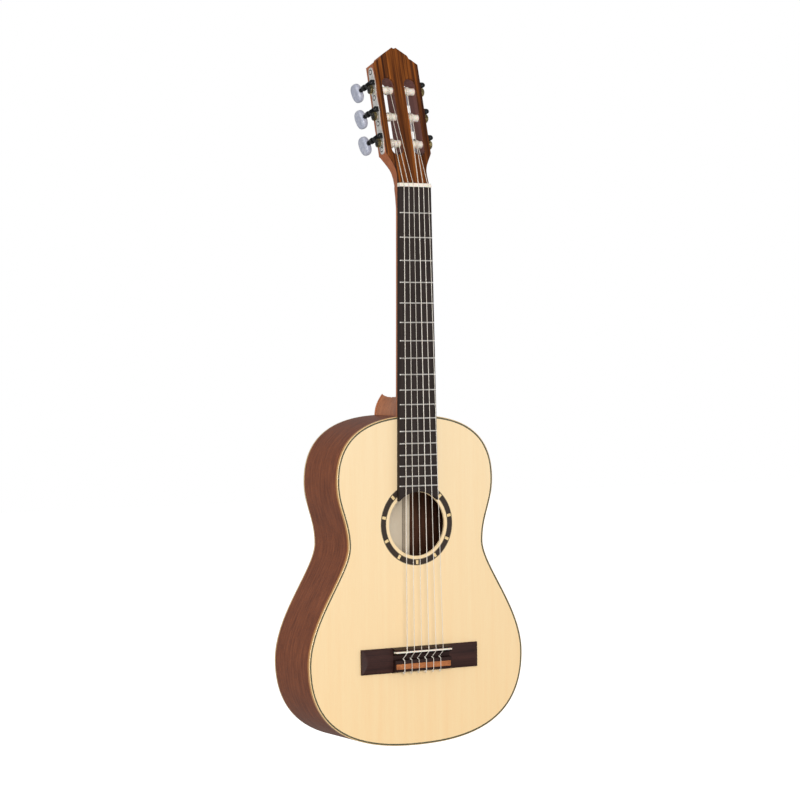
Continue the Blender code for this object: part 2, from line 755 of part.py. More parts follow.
def plate_shape(side):
    """The scalloped side plate, wide at its screws and narrow between them."""
    outline = []
    steps = 24
    for direction in (1, -1):
        for k in range(steps + 1):
            share = k / steps if direction == 1 else 1 - k / steps
            up = PLATE_START + PLATE_LENGTH * share
            wave = math.cos(2 * math.pi * (up - SCREW_ROW) / SCREW_PITCH)
            round_end = min(1.0, 0.35 + 0.5 * math.sqrt(30 * min(share, 1 - share)))
            outline.append((up, direction * (6.3 - 0.8 * wave) * MM * round_end))
    inner = HEAD_HALF_WIDTH + GAP
    rings = []
    for x in (inner, inner + PLATE_THICKNESS):
        rings.append([head(side * x, up, ROLLER_DEPTH + across) for up, across in outline])
    return skin(rings)


def head_box(side, x, up, depth):
    """A box in headstock directions. Each argument after side is (low, high)."""
    rings = []
    for level in up:
        rings.append([head(side * x[i], level, depth[j]) for i, j in ((0, 0), (1, 0), (1, 1), (0, 1))])
    return skin(rings)


def build_plate(name, side):
    piece = add(name, plate_shape(side), ((0.72, 0.70, 0.66), 0.25, 1.0))
    inner = HEAD_HALF_WIDTH + GAP
    lugs = []
    bores = []
    for row in ROLLER_ROWS:
        worm = row + WORM_OFFSET
        for depth in ((2.8 * MM, 5.3 * MM), (14.3 * MM, 17.0 * MM)):
            span = (worm - 3.3 * MM, worm + 3.3 * MM)
            lugs.append(head_box(side, (inner + 0.5 * MM, 41.2 * MM), span, depth))
        ends = [head(side * GEAR_X, worm, depth) for depth in (0.0, 20 * MM)]
        bores.append(skin([circle(end, X, HEAD_UP, JOURNAL_RADIUS + 0.12 * MM, 16) for end in ends]))
        ends = [head(side * x, row, ROLLER_DEPTH) for x in (30 * MM, 36 * MM)]
        bores.append(skin([circle(end, HEAD_UP, HEAD_BACK, 2.4 * MM, 12) for end in ends]))
    boolean(piece, "UNION", f"{name}_lugs", lugs)
    boolean(piece, "DIFFERENCE", f"{name}_bores", bores)


def worm_shape(side, row):
    """Worm, journals, collar and button stem as one turned piece with a helical thread round its middle."""
    sides = WORM_SIDES
    axis = head(side * GEAR_X, row + WORM_OFFSET, 0.0)
    # The angle that faces the gear is half a turn from HEAD_UP.
    across = HEAD_UP
    along = HEAD_BACK.cross(HEAD_UP)

    def on(angle_step, radius, depth):
        angle = 2 * math.pi * angle_step / sides
        spoke = across * (radius * math.cos(angle)) + along * (radius * math.sin(angle))
        return axis + spoke + HEAD_BACK * depth

    def ring(radius, depth):
        return [on(k, radius, depth) for k in range(sides)]

    columns = sides * WORM_TURNS
    # Half a turn from its start a ridge faces the gear. One ridge sits level with the gear's centre there.
    start = ROLLER_DEPTH - WORM_LEAD * (1 + 0.5)
    margin = 0.7 * MM
    low = start - margin
    high = start + WORM_LEAD * WORM_TURNS + margin
    before = [ring(JOURNAL_RADIUS, 2.2 * MM), ring(JOURNAL_RADIUS, low - 0.2 * MM), ring(WORM_CORE, low)]
    after = [
        ring(WORM_CORE, high),
        ring(JOURNAL_RADIUS, high + 0.2 * MM),
        ring(JOURNAL_RADIUS, 17.4 * MM),
        ring(2.6 * MM, 17.6 * MM),
        ring(2.6 * MM, 20.6 * MM),
        ring(3.7 * MM, 21.4 * MM),
        ring(3.7 * MM, 27.0 * MM),
        ring(1.7 * MM, 27.9 * MM),
        ring(1.7 * MM, 31.0 * MM),
        ring(2.5 * MM, 31.6 * MM),
        ring(2.5 * MM, BUTTON_CENTRE - BUTTON_HALF_LENGTH - GAP),
        ring(1.5 * MM, BUTTON_CENTRE - BUTTON_HALF_LENGTH - GAP / 2),
        ring(1.5 * MM, BUTTON_CENTRE - 2 * MM),
    ]
    points = []
    faces = []
    for rings in (before, after):
        for number, level in enumerate(rings):
            first = len(points)
            points += level
            if number:
                for k in range(sides):
                    then = (k + 1) % sides
                    faces.append((first - sides + k, first - sides + then, first + then, first + k))
    front_ring = (len(before) - 1) * sides
    rear_ring = len(before) * sides
    faces.append(tuple(range(sides)))
    faces.append(tuple(range(len(points) - sides, len(points))))

    ridge = len(points)
    for column in range(columns + 1):
        rise = min(1.0, column / 4, (columns - column) / 4)
        tip = WORM_CORE + (WORM_RADIUS - WORM_CORE) * rise
        depth = start + WORM_LEAD * column / sides
        for reach, radius in ((-0.5, WORM_CORE), (-0.24, tip), (0.24, tip), (0.5, WORM_CORE)):
            points.append(on(column, radius, depth + reach * 1.15 * MM))

    def at(column, place):
        return ridge + 4 * column + place

    for column in range(columns):
        for place in range(3):
            near = (at(column, place + 1), at(column, place))
            faces.append((*near, at(column + 1, place), at(column + 1, place + 1)))
    for column in range(columns - sides):
        faces.append((at(column, 3), at(column + 1, 3), at(column + 1 + sides, 0), at(column + sides, 0)))
    for k in range(sides - 1):
        faces.append((front_ring + k, front_ring + k + 1, at(k + 1, 0), at(k, 0)))
    first_end = [at(0, place) for place in range(4)]
    faces.append((front_ring + sides - 1, front_ring, *first_end, at(sides, 0), at(sides - 1, 0)))
    last = columns - sides
    for k in range(1, sides):
        then = (k + 1) % sides
        faces.append((at(last + k, 3), at(last + k + 1, 3), rear_ring + then, rear_ring + k))
    last_end = [at(columns, place) for place in (3, 2, 1, 0)]
    faces.append((at(last, 3), at(last + 1, 3), rear_ring + 1, rear_ring, *last_end))
    return points, faces


def gear_shape(side, row):
    """A straight-toothed wheel with a gap between two teeth facing the worm."""
    tooth = 2 * math.pi / GEAR_TEETH
    corners = []
    for number in range(GEAR_TEETH):
        middle = tooth * (number + 0.5)
        corners.append((middle - 0.23 * tooth, GEAR_ROOT_RADIUS))
        corners.append((middle - 0.11 * tooth, GEAR_OUTER_RADIUS))
        corners.append((middle + 0.11 * tooth, GEAR_OUTER_RADIUS))
        corners.append((middle + 0.23 * tooth, GEAR_ROOT_RADIUS))
    rings = []
    for x in (GEAR_X - GEAR_WIDTH / 2, GEAR_X + GEAR_WIDTH / 2):
        centre = head(side * x, row, ROLLER_DEPTH)
        ring = []
        for angle, radius in corners:
            spoke = HEAD_UP * (radius * math.cos(angle)) + HEAD_BACK * (radius * math.sin(angle))
            ring.append(centre + spoke)
        rings.append(ring)
    return skin(rings)


def roller_shape(side, row):
    """The string roller, and the shaft that carries the gear through the plate."""
    rings = []
    shaft_end = GEAR_X - GEAR_WIDTH / 2 - GAP
    for x, radius in (
        (ROLLER_INNER, ROLLER_RADIUS - 0.5 * MM),
        (ROLLER_INNER + 0.5 * MM, ROLLER_RADIUS),
        (HEAD_HALF_WIDTH - 0.3 * MM, ROLLER_RADIUS),
        (HEAD_HALF_WIDTH - 0.3 * MM, 2.0 * MM),
        (shaft_end, 2.0 * MM),
    ):
        rings.append(circle(head(side * x, row, ROLLER_DEPTH), HEAD_UP, HEAD_BACK, radius, 14))
    return skin(rings)


def button_shape(side, row):
    """A pillow-shaped grip, turned a little from the headstock's line, with a socket for the stem."""
    turn = math.radians(-14)
    wide = HEAD_UP * math.cos(turn) + X * math.sin(turn)
    thick = X * math.cos(turn) - HEAD_UP * math.sin(turn)
    middle = head(side * GEAR_X, row + WORM_OFFSET, BUTTON_CENTRE)
    sides = 16

    def ring(depth, half_wide, half_thick, power):
        points = []
        for k in range(sides):
            angle = 2 * math.pi * k / sides
            a = math.cos(angle)
            b = math.sin(angle)
            x = half_wide * math.copysign(abs(a) ** power, a)
            y = half_thick * math.copysign(abs(b) ** power, b)
            points.append(middle + HEAD_BACK * depth + wide * x + thick * y)
        return points

    socket = 1.8 * MM
    half = BUTTON_HALF_LENGTH
    rings = [ring(-1.5 * MM, socket, socket, 1.0), ring(-half, socket, socket, 1.0)]
    for part, wide_part, thick_part in (
        (-1.0, 0.50, 0.62),
        (-0.86, 0.78, 0.86),
        (-0.5, 0.97, 1.0),
        (0.0, 1.0, 1.0),
        (0.5, 0.95, 1.0),
        (0.86, 0.76, 0.84),
        (1.0, 0.50, 0.58),
    ):
        half_wide = BUTTON_HALF_WIDTH * wide_part
        half_thick = BUTTON_HALF_THICKNESS * thick_part
        rings.append(ring(part * half, half_wide, half_thick, 0.75))
    return skin(rings)


def build_machine_heads():
    build_plate("tuner_plate_bass", -1)
    build_plate("tuner_plate_treble", 1)
    for number in range(1, 7):
        side, row_index = roller_place(number)
        row = ROLLER_ROWS[row_index]
        roller_centre = head(side * GEAR_X, row, ROLLER_DEPTH)
        worm_centre = head(side * GEAR_X, row + WORM_OFFSET, ROLLER_DEPTH)
        add(f"string_roller_{number}", roller_shape(side, row), (BONE, 0.4), True, roller_centre)
        add(f"gear_{number}", gear_shape(side, row), ((0.60, 0.42, 0.16), 0.3, 1.0), False, roller_centre)
        add(f"worm_shaft_{number}", worm_shape(side, row), ((0.02, 0.02, 0.02), 0.35), True, worm_centre)
        add(f"button_{number}", button_shape(side, row), ((0.78, 0.76, 0.82), 0.3), True, worm_centre)


def main():
    for leftover in list(bpy.data.objects):
        bpy.data.objects.remove(leftover)
    build_body()
    build_braces()
    build_neck()
    build_fingerboard()
    build_strings()
    build_bridge()
    build_machine_heads()


main()
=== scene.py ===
"""Fine meshes and finishes for the three-quarter classical guitar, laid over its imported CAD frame.

X points to the treble side, +Z runs up the neck and -Y out of the soundboard. The origin is at the nut.
Lengths are in millimetres, except in the studio. piece() and carve() turn them into metres.
"""

import math

import bmesh
import bpy
import numpy as np
from mathutils import Matrix, Vector


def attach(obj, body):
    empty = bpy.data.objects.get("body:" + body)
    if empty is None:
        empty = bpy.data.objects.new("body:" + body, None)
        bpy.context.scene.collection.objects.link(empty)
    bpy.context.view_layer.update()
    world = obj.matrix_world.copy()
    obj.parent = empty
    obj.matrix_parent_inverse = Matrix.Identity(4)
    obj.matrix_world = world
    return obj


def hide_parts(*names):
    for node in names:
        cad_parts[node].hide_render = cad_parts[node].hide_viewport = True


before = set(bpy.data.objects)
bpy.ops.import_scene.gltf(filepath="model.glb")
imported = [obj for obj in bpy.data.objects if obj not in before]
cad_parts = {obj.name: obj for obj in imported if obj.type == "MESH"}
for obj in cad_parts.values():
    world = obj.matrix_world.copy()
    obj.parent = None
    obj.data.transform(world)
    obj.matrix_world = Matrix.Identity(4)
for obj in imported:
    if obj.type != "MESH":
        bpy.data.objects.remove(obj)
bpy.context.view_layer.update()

MM = 0.001
GAP = 0.3
X = Vector((1, 0, 0))
Y = Vector((0, 1, 0))
Z = Vector((0, 0, 1))

# Fingerboard and strings
SCALE_LENGTH = 590
FRETS = 18
HALF_WIDTH_NUT = 23.2
HALF_WIDTH_TWELFTH = 27.4
BOARD_THICKNESS = 6.5
STRING_RADII = [0.36, 0.41, 0.51, 0.37, 0.43, 0.54]
NUT_SPACING = 7.2
SADDLE_SPACING = 10.7
SADDLE_SHIFT = 1.2
TIE_SHIFT = -1.0
NUT_STRING_BOTTOM = 8.1
SADDLE_TOP = 15.0

# Body
DEPTH = 95.5
DEEPEST_Z = -600
BACK_ARCH_RADIUS = 6300
TOP_THICKNESS = 2.6
BACK_THICKNESS = 2.5
BINDING_WIDTH = 0.9
PURFLING_WIDTH = 2.0
BINDING_HEIGHT = 4.6
BACK_BINDING_HEIGHT = 3.0
BACK_BINDING_WIDTH = 2.2
HOLE_Z = -430.5
ROSETTE_RADIUS = 53.1
INLAY_RADIUS = 48.95
BOARD_END_RADIUS = 41.5
STATIONS = 150
OUTLINE = [
    ((0, -713.9), (62.0, -713.9), (158.0, -704.1), (158.0, -603.6)),
    ((158.0, -603.6), (158.0, -545.4), (99.3, -488.6), (99.3, -455.9)),
    ((99.3, -455.9), (99.3, -423.1), (115.1, -407.0), (115.1, -374.5)),
    ((115.1, -374.5), (115.1, -337.4), (98.4, -291.5), (0, -291.5)),
]

# Headstock and machine heads
HEAD_TILT = math.radians(15)
HEAD_UP = Vector((0, math.sin(HEAD_TILT), math.cos(HEAD_TILT)))
HEAD_BACK = Vector((0, math.cos(HEAD_TILT), -math.sin(HEAD_TILT)))
HEADPLATE_THICKNESS = 3.0
HEAD_THICKNESS = 22
HEAD_HALF_WIDTH = 32.5
SLAB_START = 41
FLARE = [(0.3, 22.6), (10, 21.7), (18, 21.8), (24, 23.5), (31, 27.0), (36, 29.8), (41, 32.5)]
CREST = [(163, 32.5), (169.6, 23.0), (170.4, 20.6), (174.4, 18.8), (184.9, 3.0), (183.3, 0.0)]
SLOT_CENTRE = 16.25
SLOT_RADIUS = 8.75
SLOT_START = 38
SLOT_END = 143
ROLLER_ROWS = [56.2, 92.4, 128.6]
ROLLER_DEPTH = 9.8
ROLLER_RADIUS = 4.9
ROLLER_STRING_X = [17, 15, 13]
PLATE_START = 41.4
PLATE_LENGTH = 117.4
SCREW_ROW = 47.6
SCREW_PITCH = 35
GEAR_X = 37.8
GEAR_WIDTH = 3.8
GEAR_TEETH = 14
WORM_OFFSET = 8.05
WORM_LEAD = 2 * math.pi * 5.35 / GEAR_TEETH
BUTTON_CENTRE = 43.8
BUTTON_HALF_LENGTH = 9.2
BUTTON_HALF_WIDTH = 12.4
BUTTON_HALF_THICKNESS = 4.6

# Bridge
BRIDGE_SHIFT = 1.1
BRIDGE_HALF_LENGTH = 85.9
BRIDGE_HALF_CENTRE = 41.5
BRIDGE_FRONT = -586.8
BRIDGE_BACK = -618.6
WING_HEIGHT = 5.8
WING_END_HEIGHT = 3.0
TIE_HOLE_HEIGHT = 9.4
TIE_BLOCK_TOP = 12.2
SADDLE_HALF_LENGTH = 41.4
SADDLE_BOTTOM = 8.3
INLAY_HALF_LENGTH = 40.1


def head(x, up, depth):
    """A point across, up and behind the headstock's front face."""
    return Vector((x, -2.5, 5.3)) + HEAD_UP * up + HEAD_BACK * depth


def board_half_width(z):
    return HALF_WIDTH_NUT - (HALF_WIDTH_TWELFTH - HALF_WIDTH_NUT) * z / (SCALE_LENGTH / 2)


def back_y(z):
    return DEPTH - (z - DEEPEST_Z) ** 2 / (2 * BACK_ARCH_RADIUS)


# ---------------------------------------------------------------- finishes


def tint(value):
    """The shader's linear colour for a colour on the usual 0 to 255 scale. Anything else stays as it is."""
    if not isinstance(value, tuple) or len(value) != 3:
        return value
    shares = [level / 255 for level in value]
    linear = [share / 12.92 if share < 0.04 else ((share + 0.055) / 1.055) ** 2.4 for share in shares]
    return (*linear, 1.0)


SOCKETS = {
    "metallic": "Metallic",
    "coat": "Coat Weight",
    "coat_roughness": "Coat Roughness",
    "specular": "Specular IOR Level",
    "subsurface": "Subsurface Weight",
    "subsurface_scale": "Subsurface Scale",
    "transmission": "Transmission Weight",
}


class Finish:
    """A material: a Principled shader fed by procedural nodes."""

    def __init__(self, name, roughness, **sockets):
        self.material = bpy.data.materials.new(name)
        self.material.use_nodes = True
        self.tree = self.material.node_tree
        self.shader = self.tree.nodes["Principled BSDF"]
        self.shader.inputs["Roughness"].default_value = roughness
        for key, value in sockets.items():
            self.shader.inputs[SOCKETS[key]].default_value = value

    def add(self, kind, **settings):
        node = self.tree.nodes.new("ShaderNode" + kind)
        for key, value in settings.items():
            setattr(node, key, value)
        return node

    def fill(self, node, **values):
        for key, value in values.items():
            node.inputs[key].default_value = value

    def feed(self, socket, value):
        if isinstance(value, bpy.types.NodeSocket):
            self.tree.links.new(value, socket)
        else:
            socket.default_value = tint(value)

    def space(self, stretch, turn=(0, 0, 0), uv=False):
        """The piece's own coordinates, turned by degrees and counted in steps of stretch millimetres."""
        turned = self.add("Mapping")
        self.fill(turned, Rotation=[math.radians(angle) for angle in turn])
        self.feed(turned.inputs["Vector"], self.add("TexCoord").outputs["UV" if uv else "Object"])
        scaled = self.add("Mapping")
        self.fill(scaled, Scale=[1 / (step * MM) for step in stretch])
        self.feed(scaled.inputs["Vector"], turned.outputs[0])
        return scaled.outputs[0]

    def noise(self, stretch, detail=4.0, roughness=0.6, distortion=0.0, **place):
        node = self.add("TexNoise")
        self.feed(node.inputs["Vector"], self.space(stretch, **place))
        self.fill(node, Scale=1.0, Detail=detail, Roughness=roughness, Distortion=distortion)
        return node.outputs[0]

    def bands(self, where, axis="X", distortion=0.0, detail=2.0):
        """Lines one step apart along an axis. where is a stretch, or a vector already made."""
        node = self.add("TexWave", bands_direction=axis)
        self.feed(node.inputs["Vector"], self.space(where) if isinstance(where, tuple) else where)
        self.fill(node, Scale=math.pi / 10, Distortion=distortion, Detail=detail)
        return node.outputs[1]

    def ramp(self, factor, stops):
        node = self.add("ValToRGB")
        self.feed(node.inputs[0], factor)
        points = node.color_ramp.elements
        while len(points) < len(stops):
            points.new(0.5)
        for point, (place, colour) in zip(points, stops):
            point.position = place
            point.color = tint(colour) if isinstance(colour, tuple) else (colour, colour, colour, 1.0)
        return node.outputs[0]

    def mix(self, factor, first, second, how="MIX"):
        node = self.add("Mix", data_type="RGBA", blend_type=how)
        self.feed(node.inputs[0], factor)
        self.feed(node.inputs[6], first)
        self.feed(node.inputs[7], second)
        return node.outputs[2]

    def sum(self, first, second, how="ADD"):
        node = self.add("Math", operation=how)
        self.feed(node.inputs[0], first)
        self.feed(node.inputs[1], second)
        return node.outputs[0]

    def times(self, first, second):
        return self.sum(first, second, "MULTIPLY")

    def colour(self, value):
        self.feed(self.shader.inputs["Base Color"], value)

    def roughness(self, factor, low, high):
        self.feed(self.shader.inputs["Roughness"], self.ramp(factor, [(0.3, low), (0.7, high)]))

    def bump(self, height, depth):
        """Relief of the given depth in millimetres."""
        node = self.add("Bump")
        self.fill(node, Strength=1.0, Distance=depth * MM)
        self.feed(node.inputs["Height"], height)
        self.feed(self.shader.inputs["Normal"], node.outputs[0])


def stretched(along, across, length):
    """A stretch of length millimetres along one axis and across on the others."""
    return [length if axis == along else across for axis in "XYZ"]


def wood(name, dark, light, along, width, length, pores, turn=(0, 0, 0), uv=False, **sockets):
    """Straight-grained wood: long streaks, slow changes of tone and short dark pores."""
    made = Finish(name, **sockets)
    place = {"turn": turn, "uv": uv}
    streak = made.noise(stretched(along, width, length), 6.0, 0.65, **place)
    tone = made.noise(stretched(along, width * 9, length * 4), 2.0, **place)
    colour = made.ramp(made.mix(0.4, streak, tone), [(0.34, dark), (0.66, light)])
    pore = made.noise(stretched(along, width * 0.3, width * 5), 2.0, 0.5, **place)
    holes = made.ramp(pore, [(0.56, 0.0), (0.68, 1.0)])
    shade = (*(level * 0.35 for level in tint(dark)[:3]), 1.0)
    made.colour(made.mix(made.times(holes, pores), colour, shade))
    made.roughness(streak, sockets["roughness"] * 0.85, sockets["roughness"] * 1.2)
    made.bump(made.sum(streak, made.times(holes, -0.8 * pores)), 0.04)
    return made.material


def spruce(name, relief, **sockets):
    """Spruce with fine rings, closer at the centre seam, warmer towards the tail, with silky flecks."""
    made = Finish(name, **sockets)
    parts = made.add("SeparateXYZ")
    made.feed(parts.inputs[0], made.space((1.0, 1.0, 1.0)))
    mirrored = made.sum(made.sum(parts.outputs[0], 0.0, "ABSOLUTE"), 0.93, "POWER")
    joined = made.add("CombineXYZ")
    made.feed(joined.inputs[0], mirrored)
    made.feed(joined.inputs[2], made.times(parts.outputs[2], 0.012))
    rings = made.bands(joined.outputs[0], "X", distortion=2.2, detail=3.0)
    fibre = made.noise((0.3, 0.3, 22.0), 4.0)
    tone = made.noise((9.0, 9.0, 260.0), 3.0)
    silk = made.noise((6.0, 6.0, 1.4), 3.0, 0.7)
    upper = made.ramp(made.mix(0.55, tone, fibre), [(0.3, (250, 220, 172)), (0.7, (255, 232, 190))])
    lower = made.ramp(made.mix(0.55, tone, fibre), [(0.3, (252, 212, 156)), (0.7, (255, 227, 176))])
    height = made.sum(made.times(parts.outputs[2], 1 / 380), 1.87)
    base = made.mix(height, lower, upper)
    late = made.ramp(rings, [(0.55, 0.0), (0.95, 0.3)])
    lined = made.mix(late, base, (228, 184, 122))
    fleck = made.ramp(silk, [(0.55, 0.0), (0.75, 0.16)])
    made.colour(made.mix(fleck, lined, (255, 238, 206)))
    made.bump(made.sum(fibre, made.times(rings, 0.5)), relief)
    return made.material


def ivory(name, roughness):
    """Bone or ivory-coloured plastic, faintly mottled, with fine lines along its length."""
    made = Finish(name, roughness, subsurface=0.15, subsurface_scale=0.002, coat=0.25, coat_roughness=0.2)
    cloud = made.noise((6.0, 3.0, 6.0), 4.0)
    line = made.noise((9.0, 0.25, 0.6), 2.0)
    colour = made.ramp(cloud, [(0.3, (246, 230, 210)), (0.7, (255, 247, 236))])
    made.colour(made.mix(made.ramp(line, [(0.55, 0.0), (0.8, 0.35)]), colour, (222, 202, 168)))
    made.bump(cloud, 0.02)
    return made.material


def metal(name, colour, tarnish, roughness, brush, metallic):
    """Metal with brushing lines and soft smudges of tarnish."""
    made = Finish(name, roughness, metallic=metallic)
    lines = made.noise(brush, 3.0)
    smudge = made.noise((5.0, 5.0, 5.0), 5.0, 0.7)
    made.colour(made.ramp(smudge, [(0.35, tarnish), (0.62, colour)]))
    made.roughness(made.mix(0.5, lines, smudge), roughness * 0.7, roughness * 1.6)
    made.bump(lines, 0.006)
    return made.material


def black_metal():
    """Black lacquered steel, worn a little to grey."""
    made = Finish("black_steel", 0.28, specular=0.35, coat=0.3, coat_roughness=0.12)
    wear = made.noise((1.2, 1.2, 1.2), 6.0, 0.75)
    made.colour(made.ramp(wear, [(0.56, (9, 9, 10)), (0.78, (44, 42, 40))]))
    made.roughness(wear, 0.22, 0.42)
    made.bump(wear, 0.01)
    return made.material


def pearl():
    """Pearly plastic with slow swirls of cool white."""
    made = Finish("pearl", 0.34, coat=0.3, coat_roughness=0.2)
    swirl = made.noise((5.0, 5.0, 5.0), 3.0, 0.55, distortion=1.8)
    cloud = made.noise((14.0, 14.0, 14.0), 2.0)
    cool = (168, 174, 194)
    light = made.ramp(swirl, [(0.32, cool), (0.52, (190, 194, 210)), (0.7, (216, 218, 228))])
    made.colour(made.mix(made.times(cloud, 0.35), light, (198, 200, 214)))
    made.bump(swirl, 0.01)
    return made.material


def nylon():
    made = Finish("nylon", 0.22, transmission=0.1, coat=0.2)
    cloud = made.noise((1.0, 1.0, 9.0), 2.0)
    made.colour(made.ramp(cloud, [(0.3, (238, 226, 210)), (0.7, (252, 244, 232))]))
    return made.material


def wound():
    """A silvered winding: rings one wire apart along the string, painted darker between the turns as shade
    in the grooves.
    """
    made = Finish("wound_string", 0.42, metallic=0.3)
    wire = made.bands(made.space((0.25, 1.0, 1.0), uv=True), "X")
    # The darker stop is painted shade in the grooves between turns; the bump below is the real relief.
    made.colour(made.ramp(wire, [(0.1, (206, 192, 176)), (0.6, (255, 248, 236))]))
    made.bump(wire, 0.05)
    return made.material


def paper(name, light, dark):
    made = Finish(name, 0.85, specular=0.2)
    fibres = made.noise((0.5, 0.5, 0.5), 5.0, 0.75)
    cloud = made.noise((25.0, 25.0, 25.0), 3.0)
    made.colour(made.ramp(made.mix(0.5, fibres, cloud), [(0.35, dark), (0.65, light)]))
    made.bump(fibres, 0.03)
    return made.material


def dotted_border():
    """A printed border of small dark squares between two fine lines."""
    made = Finish("label_border", 0.85, specular=0.2)
    steps = made.ramp(made.bands((1.0, 1.0, 1.5), "Z"), [(0.45, 0.0), (0.55, 1.0)])
    across = made.ramp(made.bands((2.5, 1.0, 1.0), "X"), [(0.3, 0.0), (0.4, 1.0)])
    made.colour(made.mix(made.times(steps, across), (206, 188, 164), (104, 90, 76)))
    return made.material


def rosette_veneer():
    """Dark ring of short end-grain tiles."""
    made = Finish("rosette_dark", 0.45, specular=0.25, coat=0.15, coat_roughness=0.2)
    grain = made.noise((0.6, 0.6, 0.6), 5.0, 0.8)
    made.colour(made.ramp(grain, [(0.35, (30, 22, 18)), (0.68, (74, 60, 50))]))
    made.bump(grain, 0.01)
    return made.material


def striped(name):
    """Headstock veneer: narrow dark and light stripes running up it, over reddish brown."""
    made = Finish(name, 0.42, specular=0.12, coat=0.08, coat_roughness=0.2)
    wave = made.noise((4.2, 60.0, 190.0), 3.0, 0.5, turn=HEAD_TURN)
    fine = made.noise((0.6, 20.0, 40.0), 5.0, 0.65, turn=HEAD_TURN)
    base = made.ramp(wave, [(0.34, (54, 24, 8)), (0.5, (108, 56, 18)), (0.66, (164, 93, 34))])
    dark = made.ramp(fine, [(0.5, 0.0), (0.66, 0.6)])
    made.colour(made.mix(dark, base, (44, 18, 6)))
    made.bump(fine, 0.015)
    return made.material


GLOSS = {"roughness": 0.35, "coat": 0.6, "coat_roughness": 0.1}
SATIN = {"roughness": 0.4, "coat": 0.2, "coat_roughness": 0.3}
HEAD_SATIN = {"roughness": 0.45, "coat": 0.15, "coat_roughness": 0.3}
RIB = {"roughness": 0.5, "specular": 0.3, "coat": 0.12, "coat_roughness": 0.3}
WINGS = {"roughness": 0.55, "specular": 0.25}
MIDDLE = {"roughness": 0.5, "specular": 0.25}
BOARD = {"roughness": 0.6, "specular": 0.22}
NECK_WOOD = ((168, 92, 52), (222, 146, 96))
# The headstock's copy of the neck mahogany is painted darker: painted shade on the headstock, whose sides
# face away from the light.
HEAD_WOOD_PAINTED_SHADE = ((150, 78, 42), (204, 124, 76))
BINDING_WOOD = ((236, 190, 122), (252, 220, 164))
HEAD_TURN = (15, 0, 0)
SLOT_SHADE = {"turn": HEAD_TURN, "roughness": 0.5, "specular": 0.3}

# Woods: a CAD slot's name, dark and light colours, the way the grain runs, its width
# and length in millimetres, and how open the pores are.
WOODS = [
    ("mahogany", "mahogany", (92, 42, 22), (172, 98, 60), "X", 0.4, 9.0, 0.9, {"uv": True, **RIB}),
    ("mahogany_back", "mahogany", (84, 40, 24), (150, 88, 58), "Z", 0.8, 30.0, 0.55, RIB),
    # The back's inner face: the same mahogany painted darker, as painted shade inside the body.
    ("mahogany_inside", "mahogany", (46, 24, 14), (96, 58, 38), "Z", 0.8, 30.0, 0.5, RIB),
    ("neck_mahogany", "neck_mahogany", *NECK_WOOD, "Z", 0.8, 60.0, 0.3, SATIN),
    # Head mahogany: the neck's wood with its grain turned up the head, and painted darker as shade.
    ("head_mahogany", "neck_mahogany", *HEAD_WOOD_PAINTED_SHADE, "Z", 0.8, 60.0, 0.3, {"turn": HEAD_TURN, **HEAD_SATIN}),
    # Slot walls: painted shade, a darker and greyer copy of the head mahogany inside the two slots.
    ("slot_wall", "neck_mahogany", (92, 56, 50), (146, 98, 90), "Z", 0.8, 30.0, 0.3, SLOT_SHADE),
    ("heel_cap", "rosewood", *NECK_WOOD, "X", 0.9, 30.0, 0.3, SATIN),
    ("fingerboard", "fingerboard_rosewood", (28, 22, 20), (58, 47, 43), "Z", 0.7, 60.0, 0.6, BOARD),
    ("bridge", "bridge_rosewood", (36, 18, 16), (72, 42, 36), "X", 0.8, 50.0, 0.6, WINGS),
    # The bridge's centre block: the same rosewood painted darker, as painted shade round the saddle and the
    # tie block.
    ("bridge_middle", "bridge_rosewood", (22, 10, 8), (54, 28, 22), "X", 0.8, 50.0, 0.6, MIDDLE),
    ("binding", "binding_wood", *BINDING_WOOD, "X", 0.6, 30.0, 0.1, GLOSS),
    # The binding's side face: the same binding wood, painted a deeper orange as shade on the face turned
    # from the light.
    ("side_stripe", "binding_wood", (190, 116, 42), (230, 158, 74), "X", 0.6, 30.0, 0.2, GLOSS),
    ("inlay", "binding_wood", (140, 74, 34), (204, 126, 66), "X", 0.7, 4.0, 0.7, SATIN),
    ("purfling", "rosette_wood", (66, 64, 44), (100, 96, 70), "Z", 0.6, 12.0, 0.2, SATIN),
    ("rosette_line", "rosette_wood", (110, 96, 70), (168, 150, 116), "X", 0.6, 6.0, 0.2, SATIN),
    ("rosette_inlay", "rosette_wood", (228, 190, 126), (250, 226, 172), "Z", 0.7, 3.0, 0.2, GLOSS),
]

